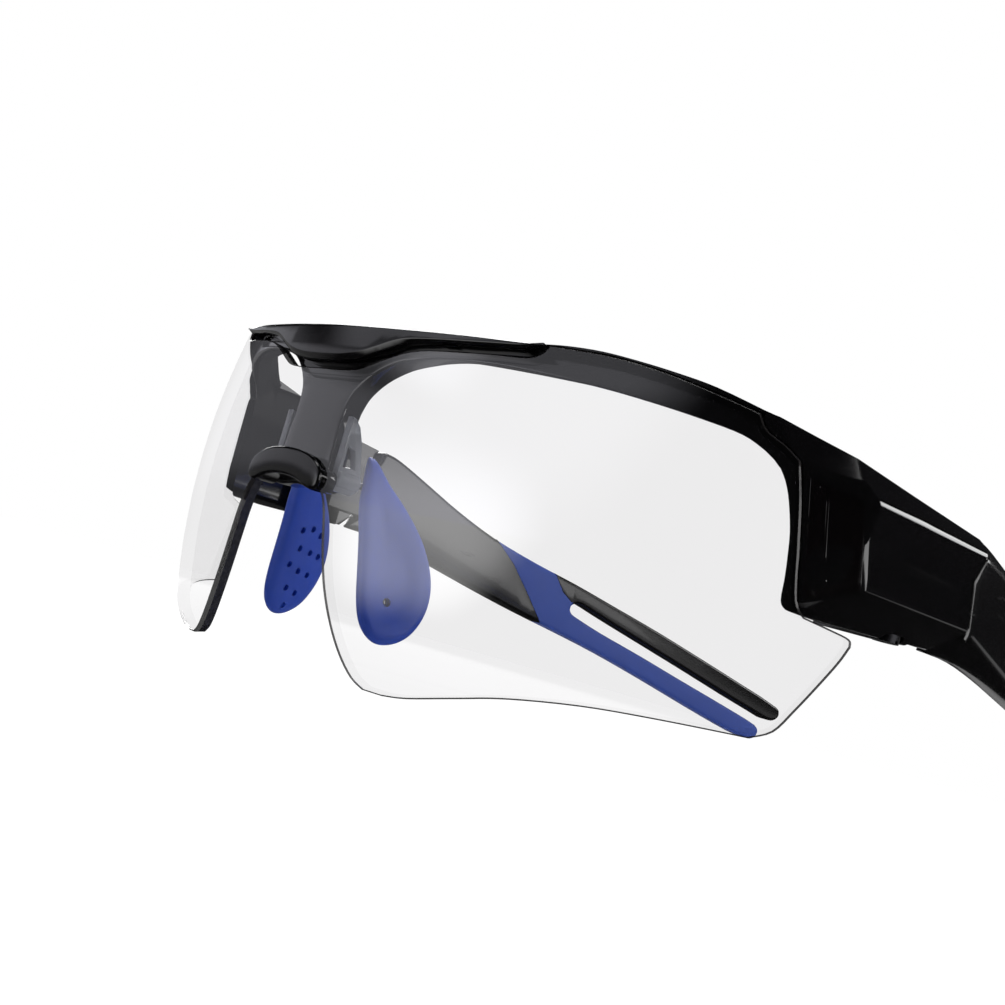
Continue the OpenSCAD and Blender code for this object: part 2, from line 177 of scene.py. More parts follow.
class Bench:
    """Edit-mode tools, each used on one mesh at a time."""

    @staticmethod
    def pick(thing: Thing) -> None:
        """Selects one object alone and makes it the active one."""
        bpy.ops.object.select_all(action="DESELECT")
        thing.select_set(True)
        bpy.context.view_layer.objects.active = thing

    @classmethod
    def edit(cls, thing: Thing, work: Callable[[], object], whole: bool = True) -> None:
        """Does one step of work in edit mode, on the whole mesh unless told otherwise."""
        cls.pick(thing)
        bpy.ops.object.mode_set(mode="EDIT")
        if whole:
            bpy.ops.mesh.select_all(action="SELECT")
        work()
        bpy.ops.object.mode_set(mode="OBJECT")

    @staticmethod
    def disc(name: str, loop: Sequence[Vector]) -> Thing:
        """Adds a filled circle and moves its points onto a closed loop.

        Args:
            name: The name of the new object.
            loop: The points of the loop, in order.

        Returns:
            The new object, one face.
        """
        bpy.ops.object.select_all(action="DESELECT")
        bpy.ops.mesh.primitive_circle_add(vertices=len(loop), radius=1, fill_type="NGON")
        thing = bpy.context.object
        thing.name = thing.data.name = name
        for vertex, point in zip(thing.data.vertices, loop):
            vertex.co = point
        return thing

    @classmethod
    def loft(cls, name: str, loops: Sequence[Sequence[Vector]]) -> Thing:
        """Extrudes a disc through loops with the same number of points, closed at both ends.

        Args:
            name: The name of the new object.
            loops: The loops from one end to the other.

        Returns:
            The new solid, with its faces pointing out.
        """
        thing = cls.disc(name, loops[0])
        bpy.ops.object.mode_set(mode="EDIT")
        bpy.ops.mesh.select_all(action="SELECT")
        for before, after in zip(loops, loops[1:]):
            bpy.ops.mesh.extrude_region_move()
            bpy.ops.object.mode_set(mode="OBJECT")
            fresh = list(thing.data.vertices)[-len(after):]
            for vertex in fresh:
                spot = vertex.co.copy()
                nearest = min(range(len(before)), key=lambda k: (before[k] - spot).length_squared)
                vertex.co = after[nearest]
            bpy.ops.object.mode_set(mode="EDIT")
        cls.face_out()
        bpy.ops.object.mode_set(mode="OBJECT")
        return thing

    @staticmethod
    def face_out() -> None:
        """Turns all faces of the mesh in edit mode outward."""
        bpy.ops.mesh.select_all(action="SELECT")
        bpy.ops.mesh.normals_make_consistent(inside=False)

    @classmethod
    def slab(cls, name: str, outline: Sequence[Point], near: float, far: float, axis: int = 1) -> Thing:
        """Makes a flat slab, drawn from the front as [x, z] unless told otherwise.

        Args:
            name: The name of the new object.
            outline: The closed outline, in the two axes that lie across the slab.
            near: Where its first face lies.
            far: Where its second face lies.
            axis: The axis through the slab: 0 for x, 1 for y and 2 for z.

        Returns:
            The new solid.
        """
        faces = [[Vector((*p[:axis], depth, *p[axis:])) for p in outline] for depth in (near, far)]
        return cls.loft(name, faces)

    @classmethod
    def cut_rows(cls, thing: Thing, axis: int, places: Iterable[float]) -> None:
        """Cuts edges into a mesh along planes square to one axis, so that it can bend."""
        square = [float(k == axis) for k in range(3)]

        def cut_all() -> None:
            """Cuts along every plane."""
            for place in places:
                bpy.ops.mesh.select_all(action="SELECT")
                bpy.ops.mesh.bisect(plane_co=[place * share for share in square], plane_no=square)

        cls.edit(thing, cut_all, whole=False)

    @classmethod
    def grid(cls, thing: Thing, across: Point, up: Point, step: float) -> None:
        """Cuts rows both ways across a slab that is drawn from the front.

        Args:
            thing: The slab.
            across: Where the rows across it begin and end.
            up: Where the rows up it begin and end.
            step: About how far apart they lie.
        """
        cls.cut_rows(thing, 0, steps_between(*across, step))
        cls.cut_rows(thing, 2, steps_between(*up, step))

    @classmethod
    def shave(cls, thing: Thing, spot: Vector, outward: Vector) -> None:
        """Cuts off what lies beyond a plane and closes the cut.

        Args:
            thing: The solid to cut.
            spot: A point on the plane.
            outward: The plane's normal, towards the part that goes.
        """
        def cut_off() -> None:
            """Cuts, closes and turns the new face outward."""
            bpy.ops.mesh.bisect(plane_co=spot, plane_no=outward, use_fill=True, clear_outer=True)
            cls.face_out()

        cls.edit(thing, cut_off)

    @classmethod
    def apply(cls, thing: Thing, kind: str, **settings: object) -> None:
        """Adds a modifier with its settings and applies it."""
        cls.pick(thing)
        modifier = thing.modifiers.new(kind.title(), kind)
        for name, value in settings.items():
            setattr(modifier, name, value)
        bpy.ops.object.modifier_apply(modifier=modifier.name)

    @classmethod
    def round_edges(cls, thing: Thing, width: float, segments: int = 3, angle: float = 32,
                    clamp: bool = True) -> None:
        """Rounds every edge sharper than an angle in degrees."""
        cls.apply(thing, "BEVEL", width=width, segments=segments, limit_method="ANGLE",
                  angle_limit=math.radians(angle), use_clamp_overlap=clamp, miter_outer="MITER_ARC")

    @classmethod
    def round_by_share(cls, thing: Thing, width: float, share: Callable[[Vector, Vector], float],
                       segments: int = 4, angle: float = 20) -> None:
        """Rounds the sharp edges, each by its own share of a width.

        Args:
            thing: The solid.
            width: The full width.
            share: Gives an edge's share from its two ends.
            segments: How many flats stand for the round.
            angle: The least angle of an edge that is rounded, in degrees.
        """
        mesh = thing.data
        normals: dict[tuple[int, int], list[Vector]] = {}
        for polygon in mesh.polygons:
            for key in polygon.edge_keys:
                normals.setdefault(key, []).append(polygon.normal.copy())
        weights = mesh.attributes.new("bevel_weight_edge", "FLOAT", "EDGE")
        for edge in mesh.edges:
            sides = normals.get(tuple(sorted(edge.vertices)), [])
            if len(sides) == 2 and sides[0].angle(sides[1], 0.0) > math.radians(angle):
                ends = [mesh.vertices[v].co for v in edge.vertices]
                weights.data[edge.index].value = share(*ends)
        cls.apply(thing, "BEVEL", width=width, segments=segments, limit_method="WEIGHT",
                  use_clamp_overlap=False, miter_outer="MITER_ARC")

    @classmethod
    def split_faces(cls, thing: Thing, depth: float) -> None:
        """Splits the faces behind a depth into triangles, so that cuts through them close."""
        for vertex in thing.data.vertices:
            vertex.select = vertex.co.y > depth
        cls.edit(thing, bpy.ops.mesh.quads_convert_to_tris, whole=False)

    @classmethod
    def carve(cls, thing: Thing, cutter: Thing, cut: Cut = Cut.AWAY) -> None:
        """Cuts one solid with another, which goes afterwards."""
        cls.apply(thing, "BOOLEAN", operation=cut.value, solver="EXACT", object=cutter)
        bpy.data.objects.remove(cutter)

    @staticmethod
    def bend(thing: Thing, place: Place) -> None:
        """Moves every point of a mesh by a formula."""
        for vertex in thing.data.vertices:
            vertex.co = place(vertex.co.copy())
        thing.data.update()

    @classmethod
    def join(cls, main: Thing, *others: Thing) -> Thing:
        """Joins meshes into the first one."""
        cls.pick(main)
        for other in others:
            other.select_set(True)
        bpy.ops.object.join()
        return main

    @staticmethod
    def copy(thing: Thing, name: str) -> Thing:
        """Makes a copy with its own mesh."""
        twin = thing.copy()
        twin.data = thing.data.copy()
        twin.name = twin.data.name = name
        bpy.context.scene.collection.objects.link(twin)
        return twin

    @classmethod
    def mirror_copy(cls, thing: Thing, name: str) -> Thing:
        """Makes a copy on the other side of the middle plane."""
        twin = cls.copy(thing, name)
        for vertex in twin.data.vertices:
            vertex.co.x = -vertex.co.x
        cls.edit(twin, bpy.ops.mesh.flip_normals)
        return twin

    @classmethod
    def shade(cls, thing: Thing, angle: float = 30) -> None:
        """Shades smooth, but for edges sharper than an angle in degrees."""
        cls.pick(thing)
        bpy.ops.object.shade_smooth_by_angle(angle=math.radians(angle))

    @classmethod
    def tube(cls, name: str, path: Sequence[Vector], radius: float, sides: int = 20) -> Thing:
        """Makes a round rod along a path.

        Args:
            name: The name of the new object.
            path: The middle line of the rod.
            radius: Its radius.
            sides: How many flats stand for the round.

        Returns:
            The new solid.
        """
        loops = []
        for i, p in enumerate(path):
            ahead = (path[min(i + 1, len(path) - 1)] - path[max(i - 1, 0)]).normalized()
            first = ahead.cross(Vector((0.3, 0.2, 1.0))).normalized()
            second = ahead.cross(first)
            loops.append([p + radius * (first * a + second * b) for a, b in ring((0, 0), 1, sides)])
        return cls.loft(name, loops)


class Link:
    """A socket of a material that takes part in sums, so that a formula adds its own nodes."""

    def __init__(self, paint: "Paint", socket: bpy.types.NodeSocket) -> None:
        """Keeps the socket and the paint that it belongs to."""
        self.paint = paint
        self.socket = socket

    def _sum(self, operation: str, first: "Link | float", second: "Link | float") -> "Link":
        """Adds one Math node."""
        sides = {0: first, 1: second}
        return self.paint.node("ShaderNodeMath", {"operation": operation}, sides)["Value"]

    def __add__(self, other: "Link | float") -> "Link":
        """Adds a value."""
        return self._sum("ADD", self, other)

    __radd__ = __add__

    def __mul__(self, other: "Link | float") -> "Link":
        """Multiplies by a value."""
        return self._sum("MULTIPLY", self, other)

    __rmul__ = __mul__

    def __sub__(self, other: "Link | float") -> "Link":
        """Takes a value away."""
        return self._sum("SUBTRACT", self, other)

    def __rsub__(self, other: float) -> "Link":
        """Takes this away from a value."""
        return self._sum("SUBTRACT", other, self)

    def size(self) -> "Link":
        """Drops the sign."""
        return self._sum("ABSOLUTE", self, 0.0)

    def at_most(self, other: float) -> "Link":
        """Keeps this below a value."""
        return self._sum("MINIMUM", self, other)


class Outputs:
    """The output sockets of one node, by name."""

    def __init__(self, paint: "Paint", node: bpy.types.Node) -> None:
        """Keeps the node and its paint."""
        self.paint = paint
        self.node = node

    def __getitem__(self, name: str) -> Link:
        """Gives one output socket."""
        return Link(self.paint, self.node.outputs[name])


class Paint:
    """One material, built from nodes."""

    def __init__(self, tree: bpy.types.NodeTree) -> None:
        """Starts with an empty tree."""
        self.tree = tree
        tree.nodes.clear()

    @classmethod
    def material(cls, name: str) -> tuple[bpy.types.Material, "Paint"]:
        """Makes a new material and its empty paint."""
        made = bpy.data.materials.new(name)
        made.use_nodes = True
        return made, cls(made.node_tree)

    def node(self, kind: str, settings: dict[str, object] | None = None,
             inputs: dict[str | int, object] | None = None) -> Outputs:
        """Adds a node.

        Args:
            kind: The node's type.
            settings: Its own settings, or the stops of a ramp under the name stops.
            inputs: The value or link of each socket, by name or number.

        Returns:
            The node's outputs.
        """
        made = self.tree.nodes.new(kind)
        for name, value in (settings or {}).items():
            if name == "stops":
                self._stops(made, value)
            else:
                setattr(made, name, value)
        for name, value in (inputs or {}).items():
            socket = made.inputs[name]
            if isinstance(value, Link):
                self.tree.links.new(value.socket, socket)
            else:
                socket.default_value = value
        return Outputs(self, made)

    @staticmethod
    def _stops(ramp: bpy.types.Node, stops: Sequence[tuple[float, float]]) -> None:
        """Sets the two stops of a grey ramp."""
        for element, (place, grey) in zip(ramp.color_ramp.elements, stops):
            element.position = place
            element.color = (grey, grey, grey, 1)

    def place(self, stretch: Sequence[float] = (1, 1, 1)) -> Link:
        """Object coordinates in metres, stretched along each axis."""
        spot = self.node("ShaderNodeTexCoord")["Object"]
        return self.node("ShaderNodeMapping", None, {"Vector": spot, "Scale": tuple(stretch)})["Vector"]

    def noise(self, scale: float, detail: float = 4, stretch: Sequence[float] = (1, 1, 1)) -> Link:
        """Cloudy noise from 0 to 1 with so many cells in a metre."""
        inputs = {"Vector": self.place(stretch), "Scale": scale, "Detail": detail, "Roughness": 0.55}
        return self.node("ShaderNodeTexNoise", None, inputs)["Fac"]

    def ramp(self, value: Link, stops: Sequence[tuple[float, float]]) -> Link:
        """Bends a value through a grey ramp."""
        return self.node("ShaderNodeValToRGB", {"stops": stops}, {"Fac": value})["Color"]

    def fade(self, value: Link, none: float, full: float) -> Link:
        """Runs softly from 0 to 1 between two values."""
        inputs = {"Value": value, "From Min": none, "From Max": full, "To Min": 0.0, "To Max": 1.0}
        return self.node("ShaderNodeMapRange", {"interpolation_type": "SMOOTHSTEP"}, inputs)["Result"]

    def blend(self, share: Link, first: Colour, second: Colour) -> Link:
        """Mixes two colours."""
        inputs = {0: share, 6: (*first, 1), 7: (*second, 1)}
        return Link(self, self.node("ShaderNodeMix", {"data_type": "RGBA"}, inputs).node.outputs[2])

    def bump(self, height: Link, strength: float, distance: float) -> Link:
        """A bump from a height, with its distance in metres."""
        inputs = {"Height": height, "Strength": strength, "Distance": distance}
        return self.node("ShaderNodeBump", None, inputs)["Normal"]

    def body(self, inputs: dict[str | int, object]) -> Link:
        """A solid surface."""
        return self.node("ShaderNodeBsdfPrincipled", None, inputs)["BSDF"]

    def clear(self, colour: Colour) -> Link:
        """A surface that only tints what is behind it."""
        return self.node("ShaderNodeBsdfTransparent", None, {"Color": (*colour, 1)})["BSDF"]

    def mix(self, share: Link, first: Link, second: Link) -> Link:
        """Mixes two surfaces."""
        return self.node("ShaderNodeMixShader", None, {0: share, 1: first, 2: second})["Shader"]

    def vector(self, operation: str, first: Link, second: Triple = (0, 0, 0)) -> Outputs:
        """Adds one Vector Math node."""
        return self.node("ShaderNodeVectorMath", {"operation": operation}, {0: first, 1: second})

    def lit(self, colour: Link | Sequence[float], strength: float = 1.0) -> Link:
        """A surface that shines by itself."""
        return self.node("ShaderNodeEmission", None, {"Color": colour, "Strength": strength})["Emission"]

    def part(self, vector: Link, axis: str) -> Link:
        """One part of a vector."""
        return self.node("ShaderNodeSeparateXYZ", None, {"Vector": vector})[axis]

    def finish(self, surface: Link) -> None:
        """Sends a shader to the output."""
        target = "ShaderNodeOutputWorld" if isinstance(self.tree.id_data, bpy.types.World) \
            else "ShaderNodeOutputMaterial"
        self.node(target, None, {"Surface": surface})


@dataclass(frozen=True)
class Finish:
    """A finish that builds its own material."""

    name: str

    def surface(self, paint: Paint) -> Link:
        """The surface of the finish, from nodes of its own material."""
        raise NotImplementedError

    def make(self) -> bpy.types.Material:
        """Builds the material."""
        made, paint = Paint.material(self.name)
        paint.finish(self.surface(paint))
        return made


@dataclass(frozen=True)
class MouldedPlastic(Finish):
    """Black moulded nylon: polished or satin, with flow marks, fine grain and handling scratches."""

    colour: Colour = (0.0016, 0.0015, 0.0018)
    tint: Colour = (0.003, 0.0028, 0.0032)
    roughness: tuple[float, float] = (0.07, 0.15)
    grain: float = 0.008
    coat: float = 0.4

    def surface(self, paint: Paint) -> Link:
        """Builds the surface."""
        flow = paint.noise(60, 3, (1, 0.35, 1.6))
        fine = paint.noise(5200, 2)
        scratch = paint.ramp(paint.noise(900, 5, (1, 0.04, 1)), [(0.62, 0.0), (0.72, 1.0)])
        low, high = self.roughness
        return paint.body({
            "Base Color": paint.blend(flow, self.colour, self.tint),
            "Roughness": low + (high - low) * flow + 0.08 * scratch,
            "Normal": paint.bump(fine + 0.5 * scratch, self.grain, 0.00002),
            "IOR": 1.5,
            "Coat Weight": self.coat,
            "Coat Roughness": 0.04,
        })


@dataclass(frozen=True)
class GripRubber(Finish):
    """Satin blue rubber with a fine grain and slightly uneven dye."""

    colour: Colour = (0.01, 0.045, 0.28)
    tint: Colour = (0.015, 0.058, 0.35)
    roughness: float = 0.42
    sheen: float = 0.1
    through: float = 0.0

    def surface(self, paint: Paint) -> Link:
        """Builds the surface."""
        cloud = paint.noise(140)
        grain = paint.noise(3800, 3)
        return paint.body({
            "Base Color": paint.blend(cloud, self.colour, self.tint),
            "Roughness": self.roughness + 0.14 * cloud + 0.06 * grain,
            "Normal": paint.bump(grain + 0.6 * cloud, 0.22, 0.00004),
            "Sheen Weight": self.sheen,
            "Subsurface Weight": self.through,
            "Subsurface Radius": (0.0006, 0.001, 0.002),
            "Subsurface Scale": 1.0,
        })


@dataclass(frozen=True)
class SmokePlastic(Finish):
    """Smoke-grey moulded plastic that lets a part of the light through."""

    colour: Colour = (0.2, 0.21, 0.23)
    through: Colour = (0.62, 0.65, 0.7)
    clear: float = 0.45

    def surface(self, paint: Paint) -> Link:
        """Builds the surface."""
        cloud = paint.noise(420, 3)
        edge = paint.node("ShaderNodeLayerWeight", None, {"Blend": 0.35})["Facing"]
        body = paint.body({
            "Base Color": paint.blend(cloud, self.colour, tuple(1.5 * c for c in self.colour)),
            "Roughness": 0.08 + 0.12 * cloud,
            "Normal": paint.bump(cloud, 0.1, 0.00005),
            "IOR": 1.5,
        })
        share = 1.0 - self.clear * (1.0 - edge)
        return paint.mix(share, paint.clear(self.through), body)


@dataclass(frozen=True)
class BrushedSteel(Finish):
    """Plain steel with fine turning marks."""

    colour: Colour = (0.3, 0.3, 0.31)
    turned: tuple[float, float] = (0.22, 0.42)

    def surface(self, paint: Paint) -> Link:
        """Builds the surface."""
        marks = paint.noise(1500, 4, (1, 1, 9))
        low, high = self.turned
        return paint.body({
            "Base Color": paint.blend(marks, tuple(0.8 * c for c in self.colour), self.colour),
            "Metallic": 1.0,
            "Roughness": low + (high - low) * marks,
            "Normal": paint.bump(marks, 0.3, 0.00002),
        })


@dataclass(frozen=True)
class LensFace(Finish):
    """Clear hard-coated polycarbonate: it tints what is behind it once and mirrors by its angle."""

    tint: Colour = (0.93, 0.926, 0.93)
    index: float = 1.56
    coating: float = 0.11

    def surface(self, paint: Paint) -> Link:
        """Builds the surface."""
        smear = paint.ramp(paint.noise(90, 4, (1, 1, 0.5)), [(0.45, 0.0), (0.8, 1.0)])
        mirror = paint.body({
            "Base Color": (1, 1, 1, 1),
            "Metallic": 1.0,
            "Roughness": 0.015 + 0.05 * smear,
        })
        angle = paint.node("ShaderNodeFresnel", None, {"IOR": self.index})["Fac"]
        share = (2.0 * angle).at_most(self.coating) + 0.006 * smear
        front = paint.mix(share, paint.clear(self.tint), mirror)
        behind = paint.node("ShaderNodeNewGeometry")["Backfacing"]
        return paint.mix(behind, front, paint.clear((1, 1, 1)))


@dataclass(frozen=True)
class LensRim(Finish):
    """The cut edge of the lens, painted dark: painted shade that stands in for the dark line refraction
    shows at a clear edge. It is dark from outside, and nearly clear from inside the lens.
    """

    colour: Colour = (0.008, 0.008, 0.014)
    glow: Colour = (0.05, 0.05, 0.06)
    through: Colour = (0.95, 0.95, 0.95)
    inside: float = 0.0
    outside: float = 1.0
    inside_reach: float = 0.034
    inside_fade: float = 0.008

    def surface(self, paint: Paint) -> Link:
        """Builds the surface."""
        cut = paint.noise(1400)
        body = paint.body({
            "Base Color": paint.blend(cut, self.colour, self.glow),
            "Roughness": 0.16 + 0.14 * cut,
            "Normal": paint.bump(cut, 0.15, 0.00003),
            "IOR": 1.5,
        })
        behind = paint.node("ShaderNodeNewGeometry")["Backfacing"]
        # Seen from inside the lens, the painted shade keeps its inside share near the nose and is gone
        # further out
        kept = paint.node("ShaderNodeMapRange", None, {
            "Value": paint.part(paint.place(), "X").size(),
            "From Min": self.inside_reach,
            "From Max": self.inside_reach - self.inside_fade,
            "To Min": 0.0,
            "To Max": self.inside,
        })["Result"]
        share = self.outside + (kept - self.outside) * behind
        return paint.mix(share, paint.clear(self.through), body)


class Finishes:
    """All finishes of the glasses."""

    def __init__(self) -> None:
        """Builds every material once."""
        self.gloss = MouldedPlastic("gloss_black_plastic").make()
        self.panel = MouldedPlastic(
            "cheek_panel_plastic", (0.0012, 0.0007, 0.001), (0.002, 0.0012, 0.0016),
            roughness=(0.1, 0.16), grain=0.02, coat=0.3
        ).make()
        self.arm = MouldedPlastic(
            "satin_temple_plastic", roughness=(0.16, 0.26), grain=0.01, coat=0.2
        ).make()
        self.grip = GripRubber("blue_grip_rubber").make()
        self.pad = GripRubber(
            "blue_pad_rubber", (0.007, 0.046, 0.36), (0.011, 0.06, 0.45),
            roughness=0.34, through=0.05
        ).make()
        self.smoke = SmokePlastic("smoke_bracket_plastic").make()
        self.steel = BrushedSteel("drawn_steel_wire").make()
        self.dark_steel = BrushedSteel("blackened_steel", (0.03, 0.03, 0.033), (0.3, 0.5)).make()
        self.lens = LensFace("clear_lens_front").make()
        self.lens_back = LensFace("clear_lens_back", (0.955, 0.953, 0.955), coating=0.035).make()
        # The lens's cut edge and its chamfer are painted dark, as painted shade for the look of
        # refraction at a clear edge
        self.rim = LensRim("lens_cut_edge_painted_shade").make()
        self.rim_line = LensRim(
            "lens_edge_chamfer_painted_shade", (0.008, 0.008, 0.011), (0.026, 0.023, 0.021),
            inside=0.9, outside=0.95
        ).make()


def painted(thing: Thing, *materials: bpy.types.Material) -> None:
    """Gives a piece its materials in order."""
    thing.data.materials.clear()
    for material in materials:
        thing.data.materials.append(material)


def dressed(thing: Thing, material: bpy.types.Material, angle: float, place: Place = seated) -> None:
    """Moves a drawn piece to its place, gives it one material and shades it up to an angle."""
    Bench.bend(thing, place)
    painted(thing, material)
    Bench.shade(thing, angle)


def placed(thing: Thing, name: str, body: str, slot: str, *nodes: str) -> None:
    """Names a finished piece, makes it ride on its body and stand for its node.

    Args:
        thing: The finished piece.
        name: The name that it gets.
        body: The body that carries it.
        slot: The name of a material slot; it is not used.
        nodes: The nodes that it replaces.
    """
    thing.name = thing.data.name = name
    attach(thing, body)
    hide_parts(*nodes)
    LOG.info("%s: %d faces on %s", name, len(thing.data.polygons), body)


def placed_pair(thing: Thing, name: str, bodies: tuple[str, str], slot: str, node: str) -> None:
    """Mirrors a finished left piece and places both.

    Args:
        thing: The piece on the left.
        name: The name that both get, each with its side.
        bodies: The bodies that carry the left one and the right one.
        slot: The name of the material slot, passed on to placed.
        node: The name of the nodes that they replace, without the side.
    """
    twin = Bench.mirror_copy(thing, f"{name}_right")
    placed(thing, f"{name}_left", bodies[0], slot, f"{node}_left")
    placed(twin, f"{name}_right", bodies[1], slot, f"{node}_right")


@dataclass
class ShieldLens:
    """The clear one-piece lens with its chamfered edge."""

    thickness: float = 2.0
    chamfer: float = 0.22
    line: float = 0.66
    grid: float = 2.0
    across: Point = (-70, 70)
    up: Point = (-28.4, 19.5)
    # How squarely a face of the flat lens points to the front or the back
    square: float = 0.98
    vent: Outline = drawn(
        (0, 11.8), (4.6, 11.8), (8, 12.1), (10.2, 12.9), (13.3, 14.3), (16.3, 15.4), (19.4, 16),
        (23.8, 16.4), (28, 16.8), (32, 17.1), (33.5, 17.4), (34.5, 18.1), (35, 19.3)
    )
    top: Outline = drawn((35, 19.3), (42.6, 19.5), (48.1, 19), (53.3, 18), (58, 16.9))
    step: Outline = drawn((58, 16.9), (59.1, 15.1), (61, 13.9), (62.6, 12.5))
    side: Outline = drawn((62.6, 12.5), (63.7, 8), (64.7, 2.2), (65.5, -3.6), (66.3, -5.3))
    tail: Outline = drawn((66.3, -5.3), (68.3, -5.8), (69.8, -6.3), (70.0, -7.2))
    corner: Outline = drawn(
        (70.0, -7.2), (69.4, -9.4), (68.2, -12.7), (66.8, -16.1), (65.3, -19.2), (63.4, -20.7)
    )
    bottom: Outline = drawn(
        (63.4, -20.7), (55.6, -21.6), (48.5, -22.6), (40.5, -24.3), (34.6, -26), (28.1, -27.8),
        (24.5, -28.35)
    )
    nose: Outline = drawn(
        (21.4, -28.35), (19.3, -27.3), (17, -24.9), (14.8, -21.5), (12.8, -17.3), (11.3, -12.8),
        (10.3, -9), (9.2, -6.2), (7.4, -4.3), (4, -3), (0, -2.6)
    )

    def outline(self) -> Outline:
        """The whole closed outline, as [x, z]."""
        runs = [
            self.vent, self.top, self.step, self.side, self.tail, self.corner, self.bottom, self.nose
        ]
        return both_sides(joined(*[smooth(run) for run in runs]))

    def build(self, finishes: Finishes) -> None:
        """Builds and dresses the lens."""
        lens = Bench.slab("clear_shield_lens", self.outline(), 0, self.thickness)
        Bench.round_edges(lens, self.chamfer, 1, 50)
        Bench.grid(lens, self.across, self.up, self.grid)
        Bench.cut_rows(lens, 1, [self.line])
        painted(lens, finishes.lens, finishes.lens_back, finishes.rim, finishes.rim_line)
        for face in lens.data.polygons:
            if abs(face.normal.y) > self.square:
                face.material_index = 0 if face.normal.y < 0 else 1
            else:
                face.material_index = 3 if face.center.y < self.line else 2
        Bench.bend(lens, SURFACE.seat)
        Bench.shade(lens, 28)
        placed(lens, "clear_shield_lens", "front", "clear_lens", "shield_lens")


@dataclass
class BrowFrame:
    """The brow with its raised vent boss and the bridge that stands behind the lens."""

    back: float = 5.3
    lens_back: float = 2.1
    grid: float = 2.5
    across: Point = (-58.2, 58.2)
    up: Point = (-5, 20)
    top: Outline = drawn(
        (0, 18.4), (8, 18.3), (15.8, 18.4), (23, 18.7), (29, 19), (34, 19.4), (37, 19.8),
        (41, 20), (45.1, 19.8), (49.4, 19.4), (53.5, 18.8), (58.2, 17.5)
    )
    end: Outline = drawn(
        (58.2, 17.5), (59.6, 16.9), (61, 15.9), (61.5, 15.2), (61.5, 11.3), (60.6, 12.3)
    )
    opening: Outline = drawn(
        (59.6, 13.1), (57.2, 14.3), (53, 14.95), (47.5, 15.5), (41.5, 15.9), (34, 16.1), (27.5, 16.1),
        (20.4, 15.7), (16.6, 15.2), (13, 14.4), (10.4, 13.1), (8.2, 11.4), (6.6, 9.4), (5.9, 7.2)
    )
    bridge: Outline = drawn(
        (5.9, 7.2), (5.8, 5.2), (6, 2.6), (6.2, -1.5), (6.1, -4.2), (5, -4.9), (2.5, -4.7), (0, -4.5)
    )
    boss_top: Outline = drawn(
        (0, 18), (8, 18), (15, 18.1), (21, 18.3), (26, 18.5), (30, 18.65), (33, 18.85), (34.6, 19.05)
    )
    boss_low: Outline = drawn(
        (0, 12.85), (4.2, 12.95), (7.9, 13.5), (10.7, 14.5), (14.5, 16), (16.9, 16.55), (20.8, 17.05),
        (25.3, 17.4), (29.3, 17.8), (32, 18.1), (33.4, 18.6), (34.6, 19)
    )
    boss_face: Outline = drawn(
        (0, 13.5), (4.5, 13.65), (8.3, 14.3), (10.8, 15.15), (13.1, 16.1), (15.5, 16.75), (19.5, 17.15),
        (25.3, 17.65), (29.3, 18.05), (32, 18.35), (33.4, 18.7), (34.6, 19.02)
    )
    lip: Outline = drawn(
        (33.8, 18.9), (35, 19.4), (38, 19.5), (42.6, 19.65), (48.1, 19.15), (53.3, 18.15), (58.9, 16.9)
    )
    lip_top: Outline = drawn(
        (33.8, 19.25), (37, 19.68), (41, 19.88), (45.1, 19.68), (49.4, 19.28), (53.5, 18.68),
        (58.9, 17.2)
    )
    boss_front: float = -0.85
    boss_edge: float = -0.35
    layer_meet: float = 2.6
    undercut: float = 1.3
    boss_rear_lift: float = 0.35
    boss_front_drop: float = 0.12
    lip_front: float = 0.15

    def raised(self, spot: Point) -> Point:
        """Lifts the rear edge of the opening, so that the underside slopes up to the back."""
        x, z = spot
        along = min(max((x - 12) / 12, 0), 1)
        low = min(max((17 - z) / 1.2, 0), 1)
        return (x, z + self.undercut * along * low)

    def rear_layer(self) -> Thing:
        """The band behind the lens, with the bridge."""
        half = joined(smooth(self.top), self.end, smooth(self.opening), smooth(self.bridge))
        front, rear = both_sides(half), both_sides([self.raised(p) for p in half])
        layer = Bench.loft("brow_frame", [
            [Vector((x, self.lens_back, z)) for x, z in front],
            [Vector((x, self.back, z)) for x, z in rear]
        ])
        Bench.round_edges(layer, 0.38, 3, 50)
        return layer

    def boss(self) -> Thing:
        """The raised boss over the vent, with its bevelled lower edge."""
        top, low, face = smooth(self.boss_top), smooth(self.boss_low), smooth(self.boss_face)
        rear_top = [(x, z + self.boss_rear_lift) for x, z in top]
        front_top = [(x, z - self.boss_front_drop) for x, z in top]
        loops = []
        for upper, lower, depth in (
            (front_top, face, self.boss_front),
            (top, low, self.boss_edge),
            (rear_top, low, self.layer_meet)
        ):
            loop = both_sides([*upper, *reversed(lower)])
            loops.append([Vector((x, depth, z)) for x, z in loop])
        boss = Bench.loft("brow_boss", loops)
        Bench.round_edges(boss, 0.1, 2, 24, clamp=False)
        return boss

    def lips(self) -> list[Thing]:
        """The thin lip over the lens on both sides of the boss."""
        outline = joined(smooth(self.lip_top), list(reversed(smooth(self.lip))))
        return [
            Bench.slab("brow_lip", [(sign * x, z) for x, z in outline], self.lip_front, self.layer_meet)
            for sign in (-1, 1)
        ]

    def build(self, finishes: Finishes) -> None:
        """Builds and dresses the brow."""
        rear = self.rear_layer()
        front = [self.boss(), *self.lips()]
        for layer in (rear, *front):
            Bench.grid(layer, self.across, self.up, self.grid)
            Bench.bend(layer, SURFACE.seat)
            painted(layer, finishes.gloss)
        brow = Bench.join(rear, *front)
        Bench.shade(brow, 32)
        placed(brow, "brow_frame", "front", "black_plastic", "front_frame")


